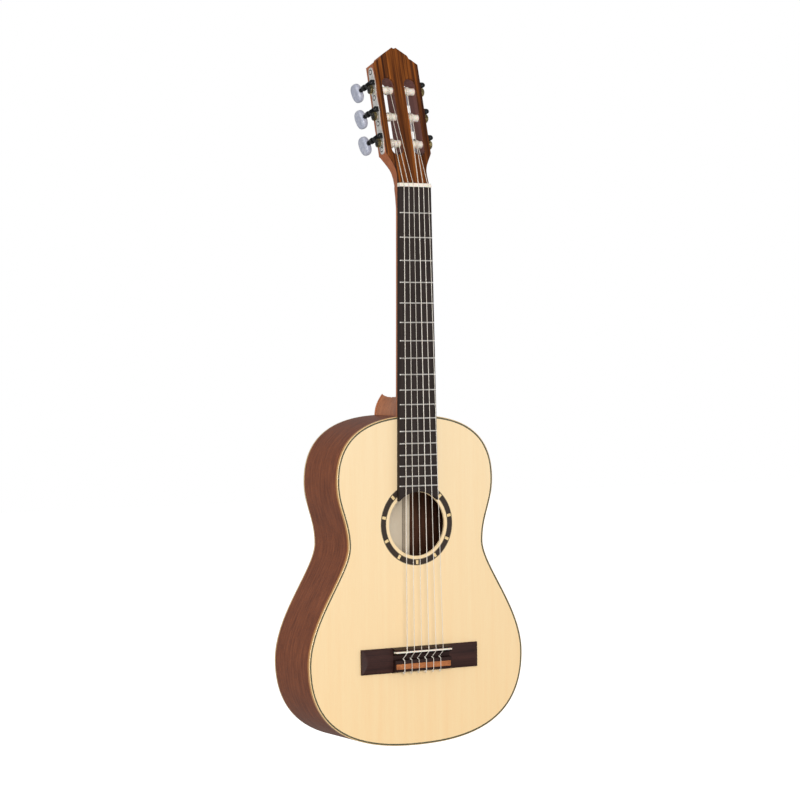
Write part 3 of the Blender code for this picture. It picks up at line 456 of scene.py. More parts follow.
# Each finish with a CAD slot's name
LACQUER = {"coat": 0.3, "coat_roughness": 0.2}
LOOKS = {
    "spruce": ("spruce", spruce("spruce_lacquered", 0.012, roughness=0.42, **LACQUER)),
    "hole_ring": ("spruce", spruce("spruce_hole_ring", 0.012, roughness=0.4, **LACQUER)),
    "brace_wood": ("spruce", spruce("spruce_bare", 0.05, roughness=0.7)),
    "headplate": ("rosewood", striped("headplate_rosewood")),
    "rosette": ("rosette_wood", rosette_veneer()),
    "bone": ("bone", ivory("bone", 0.32)),
    "roller": ("roller_plastic", ivory("roller_ivory", 0.36)),
    "nylon": ("nylon", nylon()),
    "wound": ("wound_string", wound()),
    "nickel": (
        "plated_steel",
        metal("nickel_plate", (248, 247, 244), (216, 212, 205), 0.36, (0.15, 2.5, 2.5), 0.5),
    ),
    "fret": (
        "plated_steel",
        metal("nickel_silver", (236, 232, 226), (204, 198, 190), 0.3, (4.0, 0.1, 0.1), 0.7),
    ),
    "brass": (
        "gear_brass",
        metal("aged_brass", (190, 172, 122), (72, 62, 40), 0.28, (3.0, 0.12, 0.12), 1.0),
    ),
    "black": ("black_steel", black_metal()),
    "pearl": ("pearl", pearl()),
    "paper": ("bone", paper("label_paper", (255, 240, 214), (246, 226, 196))),
    "border": ("bone", dotted_border()),
}
for key, slot, *grain, settings in WOODS:
    LOOKS[key] = (slot, wood(key, *grain, **settings))

# ---------------------------------------------------------------- mesh helpers


def show(made):
    bpy.context.scene.collection.objects.link(made)


def shade(mesh, sharp=32.0):
    mesh.shade_smooth()
    mesh.set_sharp_from_angle(angle=math.radians(sharp))


def second_look(mesh, look, chosen):
    """Another finish for the faces that are chosen."""
    mesh.materials.append(LOOKS[look][1])
    for face in mesh.polygons:
        if chosen(face):
            face.material_index = 1


def piece(name, shape, look, body="guitar", stands_for=None, uv=None):
    """An object from (points, faces) that rides on a body, in place of a CAD node if it stands for one.

    uv gives one (u, v) for each point.
    """
    slot, material = LOOKS[look]
    points, faces = shape
    mesh = bpy.data.meshes.new(name)
    mesh.from_pydata([tuple(point * MM) for point in points], [], faces)
    if uv:
        layer = mesh.uv_layers.new(name="UVMap")
        for loop in mesh.loops:
            layer.data[loop.index].uv = [place * MM for place in uv[loop.vertex_index]]
    made = bpy.data.objects.new(name, mesh)
    show(made)
    mesh.materials.append(material)
    face_out(mesh)
    shade(mesh)
    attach(made, body)
    if stands_for:
        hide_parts(stands_for)
    return made


def face_out(mesh):
    """Turns every face of each closed shell outwards."""
    build = bmesh.new()
    build.from_mesh(mesh)
    bmesh.ops.recalc_face_normals(build, faces=build.faces)
    build.to_mesh(mesh)
    build.free()


def settle(made):
    """Replaces the object's mesh with what its modifiers make of it."""
    graph = bpy.context.evaluated_depsgraph_get()
    old = made.data
    made.data = bpy.data.meshes.new_from_object(made.evaluated_get(graph))
    made.modifiers.clear()
    bpy.data.meshes.remove(old)
    shade(made.data)


def carve(made, shapes):
    """Cuts the shapes from the object."""
    points, faces = merge(shapes)
    mesh = bpy.data.meshes.new("cutter")
    mesh.from_pydata([tuple(point * MM) for point in points], [], faces)
    face_out(mesh)
    cutter = bpy.data.objects.new("cutter", mesh)
    show(cutter)
    change = made.modifiers.new("cut", "BOOLEAN")
    change.solver = "EXACT"
    change.object = cutter
    settle(made)
    bpy.data.objects.remove(cutter)
    bpy.data.meshes.remove(mesh)
    return made


def soften(made, width, segments=2):
    """Rounds the sharp edges."""
    change = made.modifiers.new("edges", "BEVEL")
    change.width = width * MM
    change.segments = segments
    change.limit_method = "ANGLE"
    change.angle_limit = math.radians(34)
    change.harden_normals = True
    return made


def merge(shapes):
    points = []
    faces = []
    for more_points, more_faces in shapes:
        first = len(points)
        points += list(more_points)
        faces += [tuple(first + index for index in face) for face in more_faces]
    return points, faces


def skin(rings, closed=False):
    """The surface through rings of equally many points, capped, or joined into a loop when closed."""
    size = len(rings[0])
    points = [point for ring in rings for point in ring]
    faces = []
    for i in range(len(rings) if closed else len(rings) - 1):
        here = i * size
        there = (i + 1) % len(rings) * size
        for j in range(size):
            after = (j + 1) % size
            faces.append((here + j, here + after, there + after, there + j))
    if not closed:
        faces.append(tuple(range(size)))
        faces.append(tuple(range(len(points) - size, len(points))))
    return points, faces


def around(across, along, angle):
    """A direction at an angle in the plane of two axes."""
    return across * math.cos(angle) + along * math.sin(angle)


def circle(centre, across, along, radius, sides):
    ring = []
    for k in range(sides):
        angle = 2 * math.pi * k / sides
        ring.append(centre + across * (radius * math.cos(angle)) + along * (radius * math.sin(angle)))
    return ring


def turned(place, across, along, profile, sides=32):
    """A turned shape. profile lists (distance, radius). place turns a distance into a point of the axis."""
    return skin([circle(place(distance), across, along, radius, sides) for distance, radius in profile])


def rectangle(a0, a1, b0, b1):
    """The four corners between two pairs of limits."""
    return [(a0, b0), (a1, b0), (a1, b1), (a0, b1)]


def slab(low, high):
    corners = rectangle(low[0], high[0], low[1], high[1])
    return skin([[Vector((x, y, z)) for x, y in corners] for z in (low[2], high[2])])


def rounded(points, reach):
    """The same route with each corner replaced by a small curve."""
    route = [points[0]]
    for before, corner, after in zip(points, points[1:], points[2:]):
        start = corner + (before - corner).normalized() * min(reach, (before - corner).length * 0.45)
        end = corner + (after - corner).normalized() * min(reach, (after - corner).length * 0.45)
        for k in range(6):
            t = k / 5
            route.append(start * (1 - t) ** 2 + corner * (2 * t * (1 - t)) + end * t**2)
    route.append(points[-1])
    return route


def tube(route, radius, sides=12):
    """A round cord along a route, and its (length, 0) coordinates."""
    rings = []
    uv = []
    length = 0.0
    across = None
    for i, point in enumerate(route):
        before = route[max(i - 1, 0)]
        after = route[min(i + 1, len(route) - 1)]
        direction = (after - before).normalized()
        if across is None:
            across = direction.orthogonal()
        across = (across - direction * across.dot(direction)).normalized()
        rings.append(circle(point, across, direction.cross(across), radius, sides))
        length += (point - before).length
        uv += [(length, 0.0)] * sides
    return skin(rings), uv


# ---------------------------------------------------------------- body


def half_outline():
    """Evenly spaced x, z and outward x, z of the treble half, from the tail to the neck."""
    t = np.linspace(0, 1, 400)[:, None]
    places = []
    runs = []
    for curve in OUTLINE:
        a, b, c, d = (np.array(point) for point in curve)
        places.append(a * (1 - t) ** 3 + b * 3 * t * (1 - t) ** 2 + c * 3 * t**2 * (1 - t) + d * t**3)
        runs.append((b - a) * (1 - t) ** 2 + (c - b) * 2 * t * (1 - t) + (d - c) * t**2)
    places = np.concatenate(places)
    runs = np.concatenate(runs)
    runs /= np.linalg.norm(runs, axis=1)[:, None]
    lengths = np.concatenate([[0], np.cumsum(np.linalg.norm(np.diff(places, axis=0), axis=1))])
    even = np.linspace(0, lengths[-1], STATIONS + 1)
    columns = (places[:, 0], places[:, 1], runs[:, 1], -runs[:, 0])
    return np.stack([np.interp(even, lengths, column) for column in columns], axis=1), lengths[-1] / STATIONS


HALF, SPACING = half_outline()


def half(inset):
    """Points (x, z) of the treble half, moved inwards."""
    return [(max(x - nx * inset, 0.0), z - nz * inset) for x, z, nx, nz in HALF]


def whole(inset):
    points = half(inset)
    return points + [(-x, z) for x, z in points[-2:0:-1]]


def from_top(_, distance):
    return distance


def from_back(z, distance):
    return back_y(z) - distance


def band(profile, depth):
    """A closed band round the body. profile lists (inset, distance in from the top or the back)."""
    loops = [whole(inset) for inset, _ in profile]
    rings = []
    for station in zip(*loops):
        places = zip(station, profile)
        rings.append([Vector((x, depth(z, distance), z)) for (x, z), (_, distance) in places])
    return skin(rings, closed=True)


def plate(inset, front, back, depth):
    corners = ((1, front), (1, back), (-1, back), (-1, front))
    rings = []
    for x, z in half(inset)[1:-1]:
        rings.append([Vector((side * x, depth(z, distance), z)) for side, distance in corners])
    return skin(rings)


def annulus(inner, outer, front, back, sides=180):
    """A flat ring round the sound hole."""
    centre = Vector((0, 0, HOLE_Z))
    corners = rectangle(inner, outer, front, back)
    rings = []
    for k in range(sides):
        angle = 2 * math.pi * k / sides
        outward = around(X, Z, angle)
        rings.append([centre + outward * radius + Y * depth for radius, depth in corners])
    return skin(rings, closed=True)


def build_body():
    wide = BINDING_WIDTH
    line = BINDING_WIDTH + PURFLING_WIDTH
    # Below this depth the binding's side is painted shade, a deeper orange than its cream top.
    painted_shade_starts = 1.3
    edge = [(0.0, painted_shade_starts), (0.0, 0.9), (0.15, 0.4), (0.4, 0.15), (0.7, 0.0), (wide, 0.0), (wide, painted_shade_starts)]
    piece("edge_binding_top", band(edge, from_top), "binding", stands_for="binding_top")
    edge = [(0.0, BINDING_HEIGHT), (0.0, painted_shade_starts), (wide, painted_shade_starts), (wide, BINDING_HEIGHT)]
    piece("side_stripe_top", band(edge, from_top), "side_stripe")
    flat = rectangle(wide, line, 0.0, TOP_THICKNESS)
    piece("purfling_top", band(flat, from_top), "purfling")
    edge = [(0.0, BACK_BINDING_HEIGHT), (0.0, 0.9), (0.15, 0.4), (0.4, 0.15), (0.9, 0.0)]
    edge += [(BACK_BINDING_WIDTH, 0.0), (BACK_BINDING_WIDTH, BACK_BINDING_HEIGHT)]
    piece("edge_binding_back", band(edge, from_back), "binding", stands_for="binding_back")

    board = plate(line, 0.0, TOP_THICKNESS, from_top)
    top = piece("soundboard_plate", board, "spruce", stands_for="soundboard")
    hole = Vector((0, 0, HOLE_Z))
    carve(top, [skin([circle(hole + Y * y, X, Z, ROSETTE_RADIUS, 180) for y in (-9, 9)])])
    rings = ((41.0, 45.0, "hole_ring"), (45.0, 45.7, "rosette_line"))
    rings += ((45.7, 52.4, "rosette"), (52.4, 53.1, "rosette_line"))
    for number, (inner, outer, look) in enumerate(rings, 1):
        stands_for = "rosette" if look == "rosette" else None
        shape = annulus(inner, outer, 0.0, TOP_THICKNESS)
        piece(f"rosette_ring_{number}", shape, look, stands_for=stands_for)
    build_rosette_inlays()

    board = plate(BACK_BINDING_WIDTH, BACK_THICKNESS, 0.0, from_back)
    back = piece("back_plate", board, "mahogany_back", stands_for="back")
    # Painted shade: the back's inner face gets the darker copy of its mahogany.
    second_look(back.data, "mahogany_inside", lambda face: face.normal.y < -0.5)
    strip_rings = []
    for k in range(41):
        z = -712 + k * 10.4
        corners = rectangle(-2, 2, 0.06, -1)
        strip_rings.append([Vector((x, back_y(z) + rise, z)) for x, rise in corners])
    piece("back_centre_strip", skin(strip_rings), "binding")
    for name, side in (("bass", -1), ("treble", 1)):
        build_side(name, side)
    build_label()
    bars = ["tail_block", "transverse_brace_upper", "transverse_brace_lower"]
    bars += [f"lining_{face}_{side}" for face in ("top", "back") for side in ("bass", "treble")]
    bars += [f"{kind}_brace_{number}" for kind in ("fan", "back") for number in (1, 2, 3)]
    for name in bars:
        repaint(name, "brace_wood")


def repaint(name, look):
    """Gives a CAD node its finish."""
    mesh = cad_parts[name].data
    mesh.materials.clear()
    mesh.materials.append(LOOKS[look][1])


def build_side(name, side):
    outer = half(0.05)
    inner = half(2.0)
    rings = []
    uv = []
    for k, ((x0, z0), (x1, z1)) in enumerate(zip(outer, inner)):
        profile = ((x0, z0, BINDING_HEIGHT), (x0, z0, back_y(z0) - BACK_BINDING_HEIGHT))
        profile += ((x1, z1, back_y(z1) - BACK_BINDING_HEIGHT), (x1, z1, BINDING_HEIGHT))
        rings.append([Vector((side * x, y, z)) for x, z, y in profile])
        uv += [(side * k * SPACING, y) for _, _, y in profile]
    piece(f"rib_{name}", skin(rings), "mahogany", stands_for=f"side_{name}", uv=uv)


def build_rosette_inlays():
    """Nine pale tiles set in the dark ring, one of them at the very bottom."""
    tiles = []
    for turn in (0, 32.7, -32.7, 65.4, -65.4, 101, -101, 135, -135):
        angle = math.radians(-90 + turn)
        outward = around(X, Z, angle)
        across = X * -math.sin(angle) + Z * math.cos(angle)
        centre = Vector((0, 0, HOLE_Z)) + outward * INLAY_RADIUS
        rings = []
        for y in (-0.05, 0.6):
            corners = rectangle(-2.7, 2.7, -1.8, 1.8)
            rings.append([centre + outward * a + across * b + Y * y for a, b in corners])
        tiles.append(skin(rings))
    piece("rosette_inlays", merge(tiles), "rosette_inlay")


def build_label():
    """A blank paper label with a printed border, glued inside the back under the sound hole."""
    half_wide = 42
    low = -484
    high = -376

    def sheet(x0, x1, z0, z1, lift):
        rings = []
        for k in range(13):
            z = z0 + (z1 - z0) * k / 12
            near = back_y(z) - BACK_THICKNESS - lift
            far = near + 0.12
            rings.append([Vector((x, y, z)) for x, y in rectangle(x0, x1, near, far)])
        return skin(rings)

    piece("label", sheet(-half_wide, half_wide, low, high, 0.15), "paper")
    inner = half_wide - 11.5
    outer = half_wide - 6.5
    strips = []
    for x0, x1 in ((-outer, -inner), (inner, outer)):
        strips.append(sheet(x0, x1, low + 5, high - 5, 0.22))
    piece("label_border", merge(strips), "border")


# ---------------------------------------------------------------- neck and headstock


def between(table, value):
    """Columns of a table of rows, interpolated at a value of its first column."""
    rows = np.array(table)
    return [float(np.interp(value, rows[:, 0], rows[:, column])) for column in range(1, rows.shape[1])]


def d_ring(place, half_width, top, bottom, squareness):
    """A flat-topped D across the neck, its flat face closed by a row of points."""
    ring = []
    for k in range(33):
        angle = math.pi * k / 32
        across = math.cos(angle)
        x = half_width * math.copysign(abs(across) ** (2 / squareness), across)
        ring.append(place(x, top + (bottom - top) * max(math.sin(angle), 0.0) ** (2 / squareness)))
    return ring


def neck_shaft():
    """The rounded neck from the body to just short of the nut."""
    rings = []
    table = [(-291, 17.4, 2.0), (-150, 16.0, 2.0), (-26, 15.2, 2.1), (-8, 15.2, 2.9)]
    for k in range(60):
        z = -296 + 288 * k / 59
        thickness, squareness = between(table, z)
        place = lambda x, depth, z=z: Vector((x, depth, z))
        rings.append(d_ring(place, board_half_width(z), 0.0, thickness, squareness))
    return skin(rings)


def neck_transition():
    """The end of the neck, growing square and then wide to meet the headstock."""
    rings = []
    for z in (-26, -22, -18, -15, -12, -9, -6, -3.5, -1.5):
        thickness, squareness = between([(-26, 15.2, 2.1), (-12, 15.2, 2.7), (-1.5, 15.4, 3.6)], z)
        place = lambda x, depth, z=z: Vector((x, depth, z))
        rings.append(d_ring(place, board_half_width(z), 0.0, thickness, squareness))
    table = [(0, 18.2, 4.0), (10, 18.6, 5.5), (18, 19.2, 8.0), (24, 19.8, 10.0)]
    table += [(31, 20.6, 14.0), (41, 22.0, 24.0)]
    for k in range(42):
        up = k * SLAB_START / 41
        bottom, squareness = between(table, up)
        place = lambda x, depth, up=up: head(x, up, depth)
        half_width = flare_half_width(up)
        rings.append(d_ring(place, half_width, HEADPLATE_THICKNESS + 0.02, bottom, squareness))
    place = lambda x, depth: head(x, SLAB_START + 4, depth)
    rings.append(d_ring(place, 31, 6.3, 20, 12.0))
    return skin(rings)


def heel_half_width(y):
    return 10 + 14.6 * math.exp(-(y - 4) / 30)


def heel_apex(y):
    """How far up the neck the heel's ridge reaches at depth y. It is closest to the body at low_y."""
    low_y = 62
    low_z = -268
    if y > low_y:
        return low_z + 3.7 * ((y - low_y) / 24) ** 2
    return low_z + 30 * ((low_y - y) / 46) ** 3.2


def heel_ring(y, depth_at, base=-296):
    """The heel's outline at depth y, a pointed arch standing on the body."""
    reach = heel_apex(y) - base
    point = 2.0 + 2.2 * math.exp(-y / 25)
    side = []
    for k in range(17):
        share = math.sin(math.pi / 2 * k / 16)
        side.append((heel_half_width(y) * (1 - share**point), base + reach * share))
    outline = side + [(-x, z) for x, z in reversed(side[:-1])]
    return [Vector((x, depth_at(z), z)) for x, z in outline]


def flare_half_width(up):
    """Half width of the headstock at a height, drawn as a smooth curve below its full width."""
    spread = min(2.0, SLAB_START - up)
    return sum(between(FLARE, up + shift)[0] for shift in (-spread, 0.0, spread)) / 3


def head_outline(start):
    """Points (x, up) round the headstock."""
    heights = [FLARE[0][0] + (SLAB_START - FLARE[0][0]) * k / 30 for k in range(31)]
    flare = [(up, flare_half_width(up)) for up in heights]
    side = [(x, up) for up, x in flare + CREST if up >= start]
    return side + [(-x, up) for x, up in reversed(side[:-1])]


def head_prism(outline, front, back):
    return skin([[head(x, up, depth) for x, up in outline] for depth in (front, back)])


def slot_cutters():
    cutters = []
    for side in (-1, 1):
        outline = []
        for middle, first in ((SLOT_END - SLOT_RADIUS, 0.0), (SLOT_START + SLOT_RADIUS, math.pi)):
            for k in range(25):
                angle = first + math.pi * k / 24
                x = side * SLOT_CENTRE + SLOT_RADIUS * math.cos(angle)
                outline.append((x, middle + SLOT_RADIUS * math.sin(angle)))
        cutters.append(head_prism(outline, -12, HEAD_THICKNESS + 12))
    return cutters


def build_neck():
    rings = []
    for k in range(42):
        y = 2 + 84 * k / 41
        rings.append(heel_ring(y, lambda z, y=y: min(y, back_y(z) - 1.6)))
    shape = merge([neck_shaft(), skin(rings)])
    carved = piece("neck_shaft_and_heel", shape, "neck_mahogany", stands_for="neck")
    voxels = carved.modifiers.new("one_solid", "REMESH")
    voxels.mode = "VOXEL"
    voxels.voxel_size = 1.0 * MM
    sanded = carved.modifiers.new("sanded", "SMOOTH")
    sanded.factor = 0.6
    sanded.iterations = 8
    settle(carved)

    foot = slab((-32, 3, -304), (32, 86, -294.5))
    soften(piece("neck_foot", foot, "neck_mahogany"), 1)
    cap_rings = [heel_ring(86, lambda z: back_y(z) - 2, -292), heel_ring(86, back_y, -292)]
    cap = piece("heel_cap_plate", skin(cap_rings), "heel_cap", stands_for="heel_cap")
    soften(cap, 0.4)

    # The headstock pieces use the darker head mahogany: painted shade.
    throat = piece("headstock_throat", neck_transition(), "head_mahogany")
    carve(throat, slot_cutters())
    soften(throat, 0.3)
    slab_shape = head_prism(head_outline(SLAB_START), HEADPLATE_THICKNESS, HEAD_THICKNESS)
    block = piece("headstock", slab_shape, "head_mahogany")
    bores = []
    for side in (-1, 1):
        for row in ROLLER_ROWS:
            ends = [head(side * x, row, ROLLER_DEPTH) for x in (3.6, 40)]
            bores.append(skin([circle(end, HEAD_UP, HEAD_BACK, ROLLER_RADIUS + 0.5, 32) for end in ends]))
    carve(block, slot_cutters())
    carve(block, bores)
    # The slot walls get their darker finish: painted shade.
    for part in (throat, block):
        paint_slot_shade(part.data)
    soften(block, 0.4, 2)

    veneer = head_prism(head_outline(0.2), 0.0, HEADPLATE_THICKNESS)
    face = piece("headplate_veneer", veneer, "headplate", stands_for="headplate")
    carve(face, slot_cutters())
    carve(face, [ramp(side) for side in (-1, 1)])
    soften(face, 0.35, 2)


def paint_slot_shade(mesh):
    """The walls of the two long slots are painted a darker, greyer wood than the outside, as painted shade
    inside the slots.
    """
    reach = SLOT_CENTRE + SLOT_RADIUS + 0.2

    def inside(face):
        place = face.center / MM
        up = (place - head(0, 0, 0)).dot(HEAD_UP)
        upright = abs(face.normal.dot(HEAD_BACK)) < 0.5
        return upright and abs(place.x) < reach and SLOT_START < up < SLOT_END

    second_look(mesh, "slot_wall", inside)


def ramp(side):
    """The channel that lets the outer string down to the roller nearest the nut."""
    left = side * 18 - 2.2
    right = side * 18 + 2.2
    above = -4
    rings = []
    for up, depth in ((18, -0.35), (40, 2.7)):
        floor = [head(left, up, depth), head(right, up, depth)]
        rings.append(floor + [head(right, up, above), head(left, up, above)])
    return skin(rings)


# ---------------------------------------------------------------- fingerboard, nut, strings, bridge


def fret_z(number):
    return -SCALE_LENGTH * (1 - 2 ** (-number / 12))


def build_fingerboard():
    top = -BOARD_THICKNESS
    end = HOLE_Z + 30
    rings = []
    for z in (-GAP, end):
        wide = board_half_width(z)
        corners = ((-wide, -GAP), (-wide, top), (wide, top), (wide, -GAP))
        rings.append([Vector((x, y, z)) for x, y in corners])
    board = piece("fingerboard_plank", skin(rings), "fingerboard", stands_for="fingerboard")
    ends = [circle(Vector((0, y, HOLE_Z)), X, Z, BOARD_END_RADIUS, 180) for y in (-20, 10)]
    carve(board, [skin(ends)])
    soften(board, 0.5, 2)
    crown = ((-1.0, 0.15), (-0.985, 0.7), (-0.96, 1.0), (0.96, 1.0), (0.985, 0.7), (1.0, 0.15))
    for number in range(1, FRETS + 1):
        z = fret_z(number)
        wide = board_half_width(z) - 0.15
        rings = []
        for share, height in crown:
            ring = [Vector((share * wide, top + 0.8, z + side * 0.6)) for side in (-1, 1)]
            for k in range(9):
                angle = math.pi * k / 8
                rise = height * math.sin(angle) ** 0.8
                ring.append(Vector((share * wide, top - rise, z + 0.85 * math.cos(angle))))
            rings.append(ring)
        piece(f"fret_{number}", skin(rings), "fret")
    repaint("nut", "bone")
    soften(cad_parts["nut"], 0.35, 3)


def string_x(number, spacing):
    return (3.5 - number) * spacing


def roller_place(number):
    return (1, number - 1) if number <= 3 else (-1, 6 - number)


def string_route(number):
    """Points down the middle of a string, from its roller to its tail at the tie block."""
    radius = STRING_RADII[number - 1]
    side, row = roller_place(number)
    over = ROLLER_DEPTH - ROLLER_RADIUS - GAP - radius
    nut_x = string_x(number, NUT_SPACING)
    saddle_x = string_x(number, SADDLE_SPACING) + SADDLE_SHIFT
    x = string_x(number, SADDLE_SPACING) + TIE_SHIFT
    over_y = -(TIE_BLOCK_TOP + GAP + radius)
    return [
        head(side * ROLLER_STRING_X[row], ROLLER_ROWS[row], over),
        Vector((nut_x, -NUT_STRING_BOTTOM - radius, 0.6)),
        Vector((saddle_x, -SADDLE_TOP - GAP - radius, -592.85)),
        Vector((x, -TIE_HOLE_HEIGHT, -600.6)),
        Vector((x, -TIE_HOLE_HEIGHT, -619.4)),
        Vector((x, -11.0, -620.2)),
        Vector((x, over_y + 0.9, -619.2)),
        Vector((x, over_y, -617.0)),
        Vector((x, over_y, -602.8)),
        Vector((x - 0.6, over_y + 0.3, -601.7)),
        Vector((x - 1.5, over_y + 1.4, -601.0)),
        Vector((x - 2.4, over_y + 0.8, -600.0)),
    ]


def build_strings():
    for number, radius in enumerate(STRING_RADII, 1):
        look = "wound" if number > 3 else "nylon"
        shape, uv = tube(rounded(string_route(number), 1.0), radius)
        piece(f"string_cord_{number}", shape, look, stands_for=f"string_{number}", uv=uv)
        side, row = roller_place(number)
        reach = ROLLER_RADIUS + GAP + radius
        turns = 3.6
        route = []
        for k in range(int(turns * 24) + 1):
            angle = 2 * math.pi * k / 24
            x = ROLLER_STRING_X[row] + 2.15 * radius * angle / (2 * math.pi)
            spoke = HEAD_BACK * (-reach * math.cos(angle)) + HEAD_UP * (reach * math.sin(angle))
            route.append(head(side * x, ROLLER_ROWS[row], ROLLER_DEPTH) + spoke)
        shape, uv = tube(route, radius, 8)
        piece(f"winding_{number}", shape, look, body=f"roller_{number}", uv=uv)


def wing_height(reach, z):
    """Height of a bridge wing: an arch across it, cut down towards its end by a curved bevel."""
    share = min(max((BRIDGE_FRONT - z) / (BRIDGE_FRONT - BRIDGE_BACK), 0.0), 1.0)
    arch = math.sin(math.pi * share)
    crown = WING_HEIGHT * (0.55 + 0.45 * max(arch, 0.0) ** 0.6)
    bevel = 7.0 * (0.3 + 0.7 * math.sqrt(max(arch, 0.0)))
    slope = WING_END_HEIGHT + (WING_HEIGHT - WING_END_HEIGHT) * (BRIDGE_HALF_LENGTH - reach) / bevel
    return min(crown, slope)


def build_bridge():
    profile = [(BRIDGE_FRONT, 0.05), (BRIDGE_FRONT, 5.0), (-589.4, 11.4), (-590.8, 12.0), (-590.9, 8.0)]
    profile += [(-593.5, 8.0), (-593.6, 12.0), (-594.8, 11.2), (-596.4, 6.2), (-601.4, 6.2), (-602.4, 11.6)]
    profile += [(-606.9, 12.2), (-607.0, 11.0), (-614.0, 11.0), (-614.1, 12.2), (-616.8, 11.6)]
    profile += [(BRIDGE_BACK, 4.6), (BRIDGE_BACK, 0.05)]
    rings = []
    for side in (-1, 1):
        end = BRIDGE_SHIFT + side * BRIDGE_HALF_CENTRE
        rings.append([Vector((end, -y, z)) for z, y in profile])
    # The centre block takes the darker copy of the bridge rosewood: painted shade round the saddle and tie
    # channels.
    middle = piece("bridge_centre", skin(rings), "bridge_middle", stands_for="bridge")
    bores = []
    for number, radius in enumerate(STRING_RADII, 1):
        x = string_x(number, SADDLE_SPACING) + TIE_SHIFT
        ends = [Vector((x, -TIE_HOLE_HEIGHT, z)) for z in (-599, -624)]
        bores.append(skin([circle(end, X, Y, radius + 0.35, 16) for end in ends]))
    carve(middle, bores)
    soften(middle, 0.25, 2)
    levels = [BRIDGE_FRONT + (BRIDGE_BACK - BRIDGE_FRONT) * k / 32 for k in range(33)]
    flat = BRIDGE_HALF_LENGTH - 8
    for name, side in (("bass", -1), ("treble", 1)):
        first = BRIDGE_HALF_CENTRE - 0.4
        steps = [first + (flat - first) * k / 6 for k in range(7)]
        steps += [flat + 0.5 * k for k in range(1, 17)]
        rings = []
        for reach in steps:
            x = BRIDGE_SHIFT + side * reach
            ring = [Vector((x, -0.05, levels[-1])), Vector((x, -0.05, levels[0]))]
            ring += [Vector((x, -wing_height(reach, z), z)) for z in levels]
            rings.append(ring)
        wing = piece(f"bridge_wing_{name}", skin(rings), "bridge")
        soften(wing, 0.2)

    rings = []
    for k in range(25):
        share = math.sin(math.pi / 2 * (k - 12) / 12)
        drop = 1.3 * (1 - math.sqrt(max(0.0, 1 - abs(share) ** 24)))
        top = SADDLE_TOP - drop
        foot = SADDLE_BOTTOM
        outline = [(-591.2, foot), (-591.2, top - 0.9), (-591.35, top - 0.35), (-591.75, top)]
        outline += [(-592.65, top), (-593.05, top - 0.35), (-593.2, top - 0.9), (-593.2, foot)]
        x = BRIDGE_SHIFT + share * SADDLE_HALF_LENGTH
        rings.append([Vector((x, -y, z)) for z, y in outline])
    piece("saddle_bone", skin(rings), "bone", stands_for="saddle")
    low = (BRIDGE_SHIFT - INLAY_HALF_LENGTH, -12.15, -613.9)
    strip = slab(low, (BRIDGE_SHIFT + INLAY_HALF_LENGTH, -11.1, -607.1))
    inlay = piece("tie_block_veneer", strip, "inlay", stands_for="tie_block_inlay")
    soften(inlay, 0.15)


# ---------------------------------------------------------------- machine heads


def screw(centre, out, radius, name, body, look="nickel"):
    """A domed screw head with a straight slot, ringed by a thin black disc of painted shade for its
    countersunk hollow. out points away from the plate.
    """
    across = out.orthogonal()
    along = out.cross(across)
    shade_disc = [(-0.1, radius * 1.5), (0.12, radius * 1.5), (0.16, radius * 1.4)]
    place = lambda distance: centre + out * distance
    # Painted shade: a thin black disc round the head, where the countersunk hollow would be in shade.
    piece(f"{name}_rim", turned(place, across, along, shade_disc, 28), "black", body=body)
    profile = ((-0.3, 1.0), (0.25, 1.0), (0.6, 0.86), (0.85, 0.6), (0.95, 0.3), (0.97, 0.05))
    profile = [(rise * 0.5 * radius, part * radius) for rise, part in profile]
    made = piece(name, turned(place, across, along, profile, 28), look, body=body)
    slot_up = HEAD_UP * (radius * 0.16) + HEAD_BACK * (radius * 0.05)
    slot_along = HEAD_BACK * (radius * 1.2) - HEAD_UP * (radius * 0.36)
    rings = []
    for rise in (0.28 * radius, 2 * radius):
        base = centre + out * rise
        turns = ((1, 1), (1, -1), (-1, -1), (-1, 1))
        rings.append([base + slot_up * a + slot_along * b for a, b in turns])
    carve(made, [skin(rings)])
    return made


def build_plate(name, side):
    outline = []
    steps = 90
    for direction in (1, -1):
        for k in range(steps + 1):
            share = k / steps if direction == 1 else 1 - k / steps
            up = PLATE_START + PLATE_LENGTH * share
            wave = math.cos(2 * math.pi * (up - SCREW_ROW) / SCREW_PITCH)
            round_end = min(1.0, 0.35 + 0.5 * math.sqrt(30 * min(share, 1 - share)))
            outline.append((up, direction * (6.3 - 0.8 * wave) * round_end))
    inner = HEAD_HALF_WIDTH + 0.05
    outer = HEAD_HALF_WIDTH + GAP + 1.2
    rings = [[head(side * x, up, ROLLER_DEPTH + across) for up, across in outline] for x in (inner, outer)]
    flat = piece(f"{name}_sheet", skin(rings), "nickel", stands_for=name)
    soften(flat, 0.3, 2)
    lugs = []
    for row in ROLLER_ROWS:
        worm = row + WORM_OFFSET
        for front, back in ((2.8, 5.3), (14.3, 17.0)):
            tab = [(33.6, worm - 3.3)]
            for k in range(13):
                angle = math.pi * (k / 12 - 0.5)
                tab.append((GEAR_X + 3.3 * math.cos(angle), worm + 3.3 * math.sin(angle)))
            tab.append((33.6, worm + 3.3))
            lugs.append(skin([[head(side * x, up, depth) for x, up in tab] for depth in (front, back)]))
    soften(piece(f"{name}_lugs", merge(lugs), "black"), 0.3, 2)
    for number in range(4):
        up = SCREW_ROW + SCREW_PITCH * number
        screw(head(side * outer, up, ROLLER_DEPTH), X * side, 1.7, f"{name}_screw_{number + 1}", "guitar")


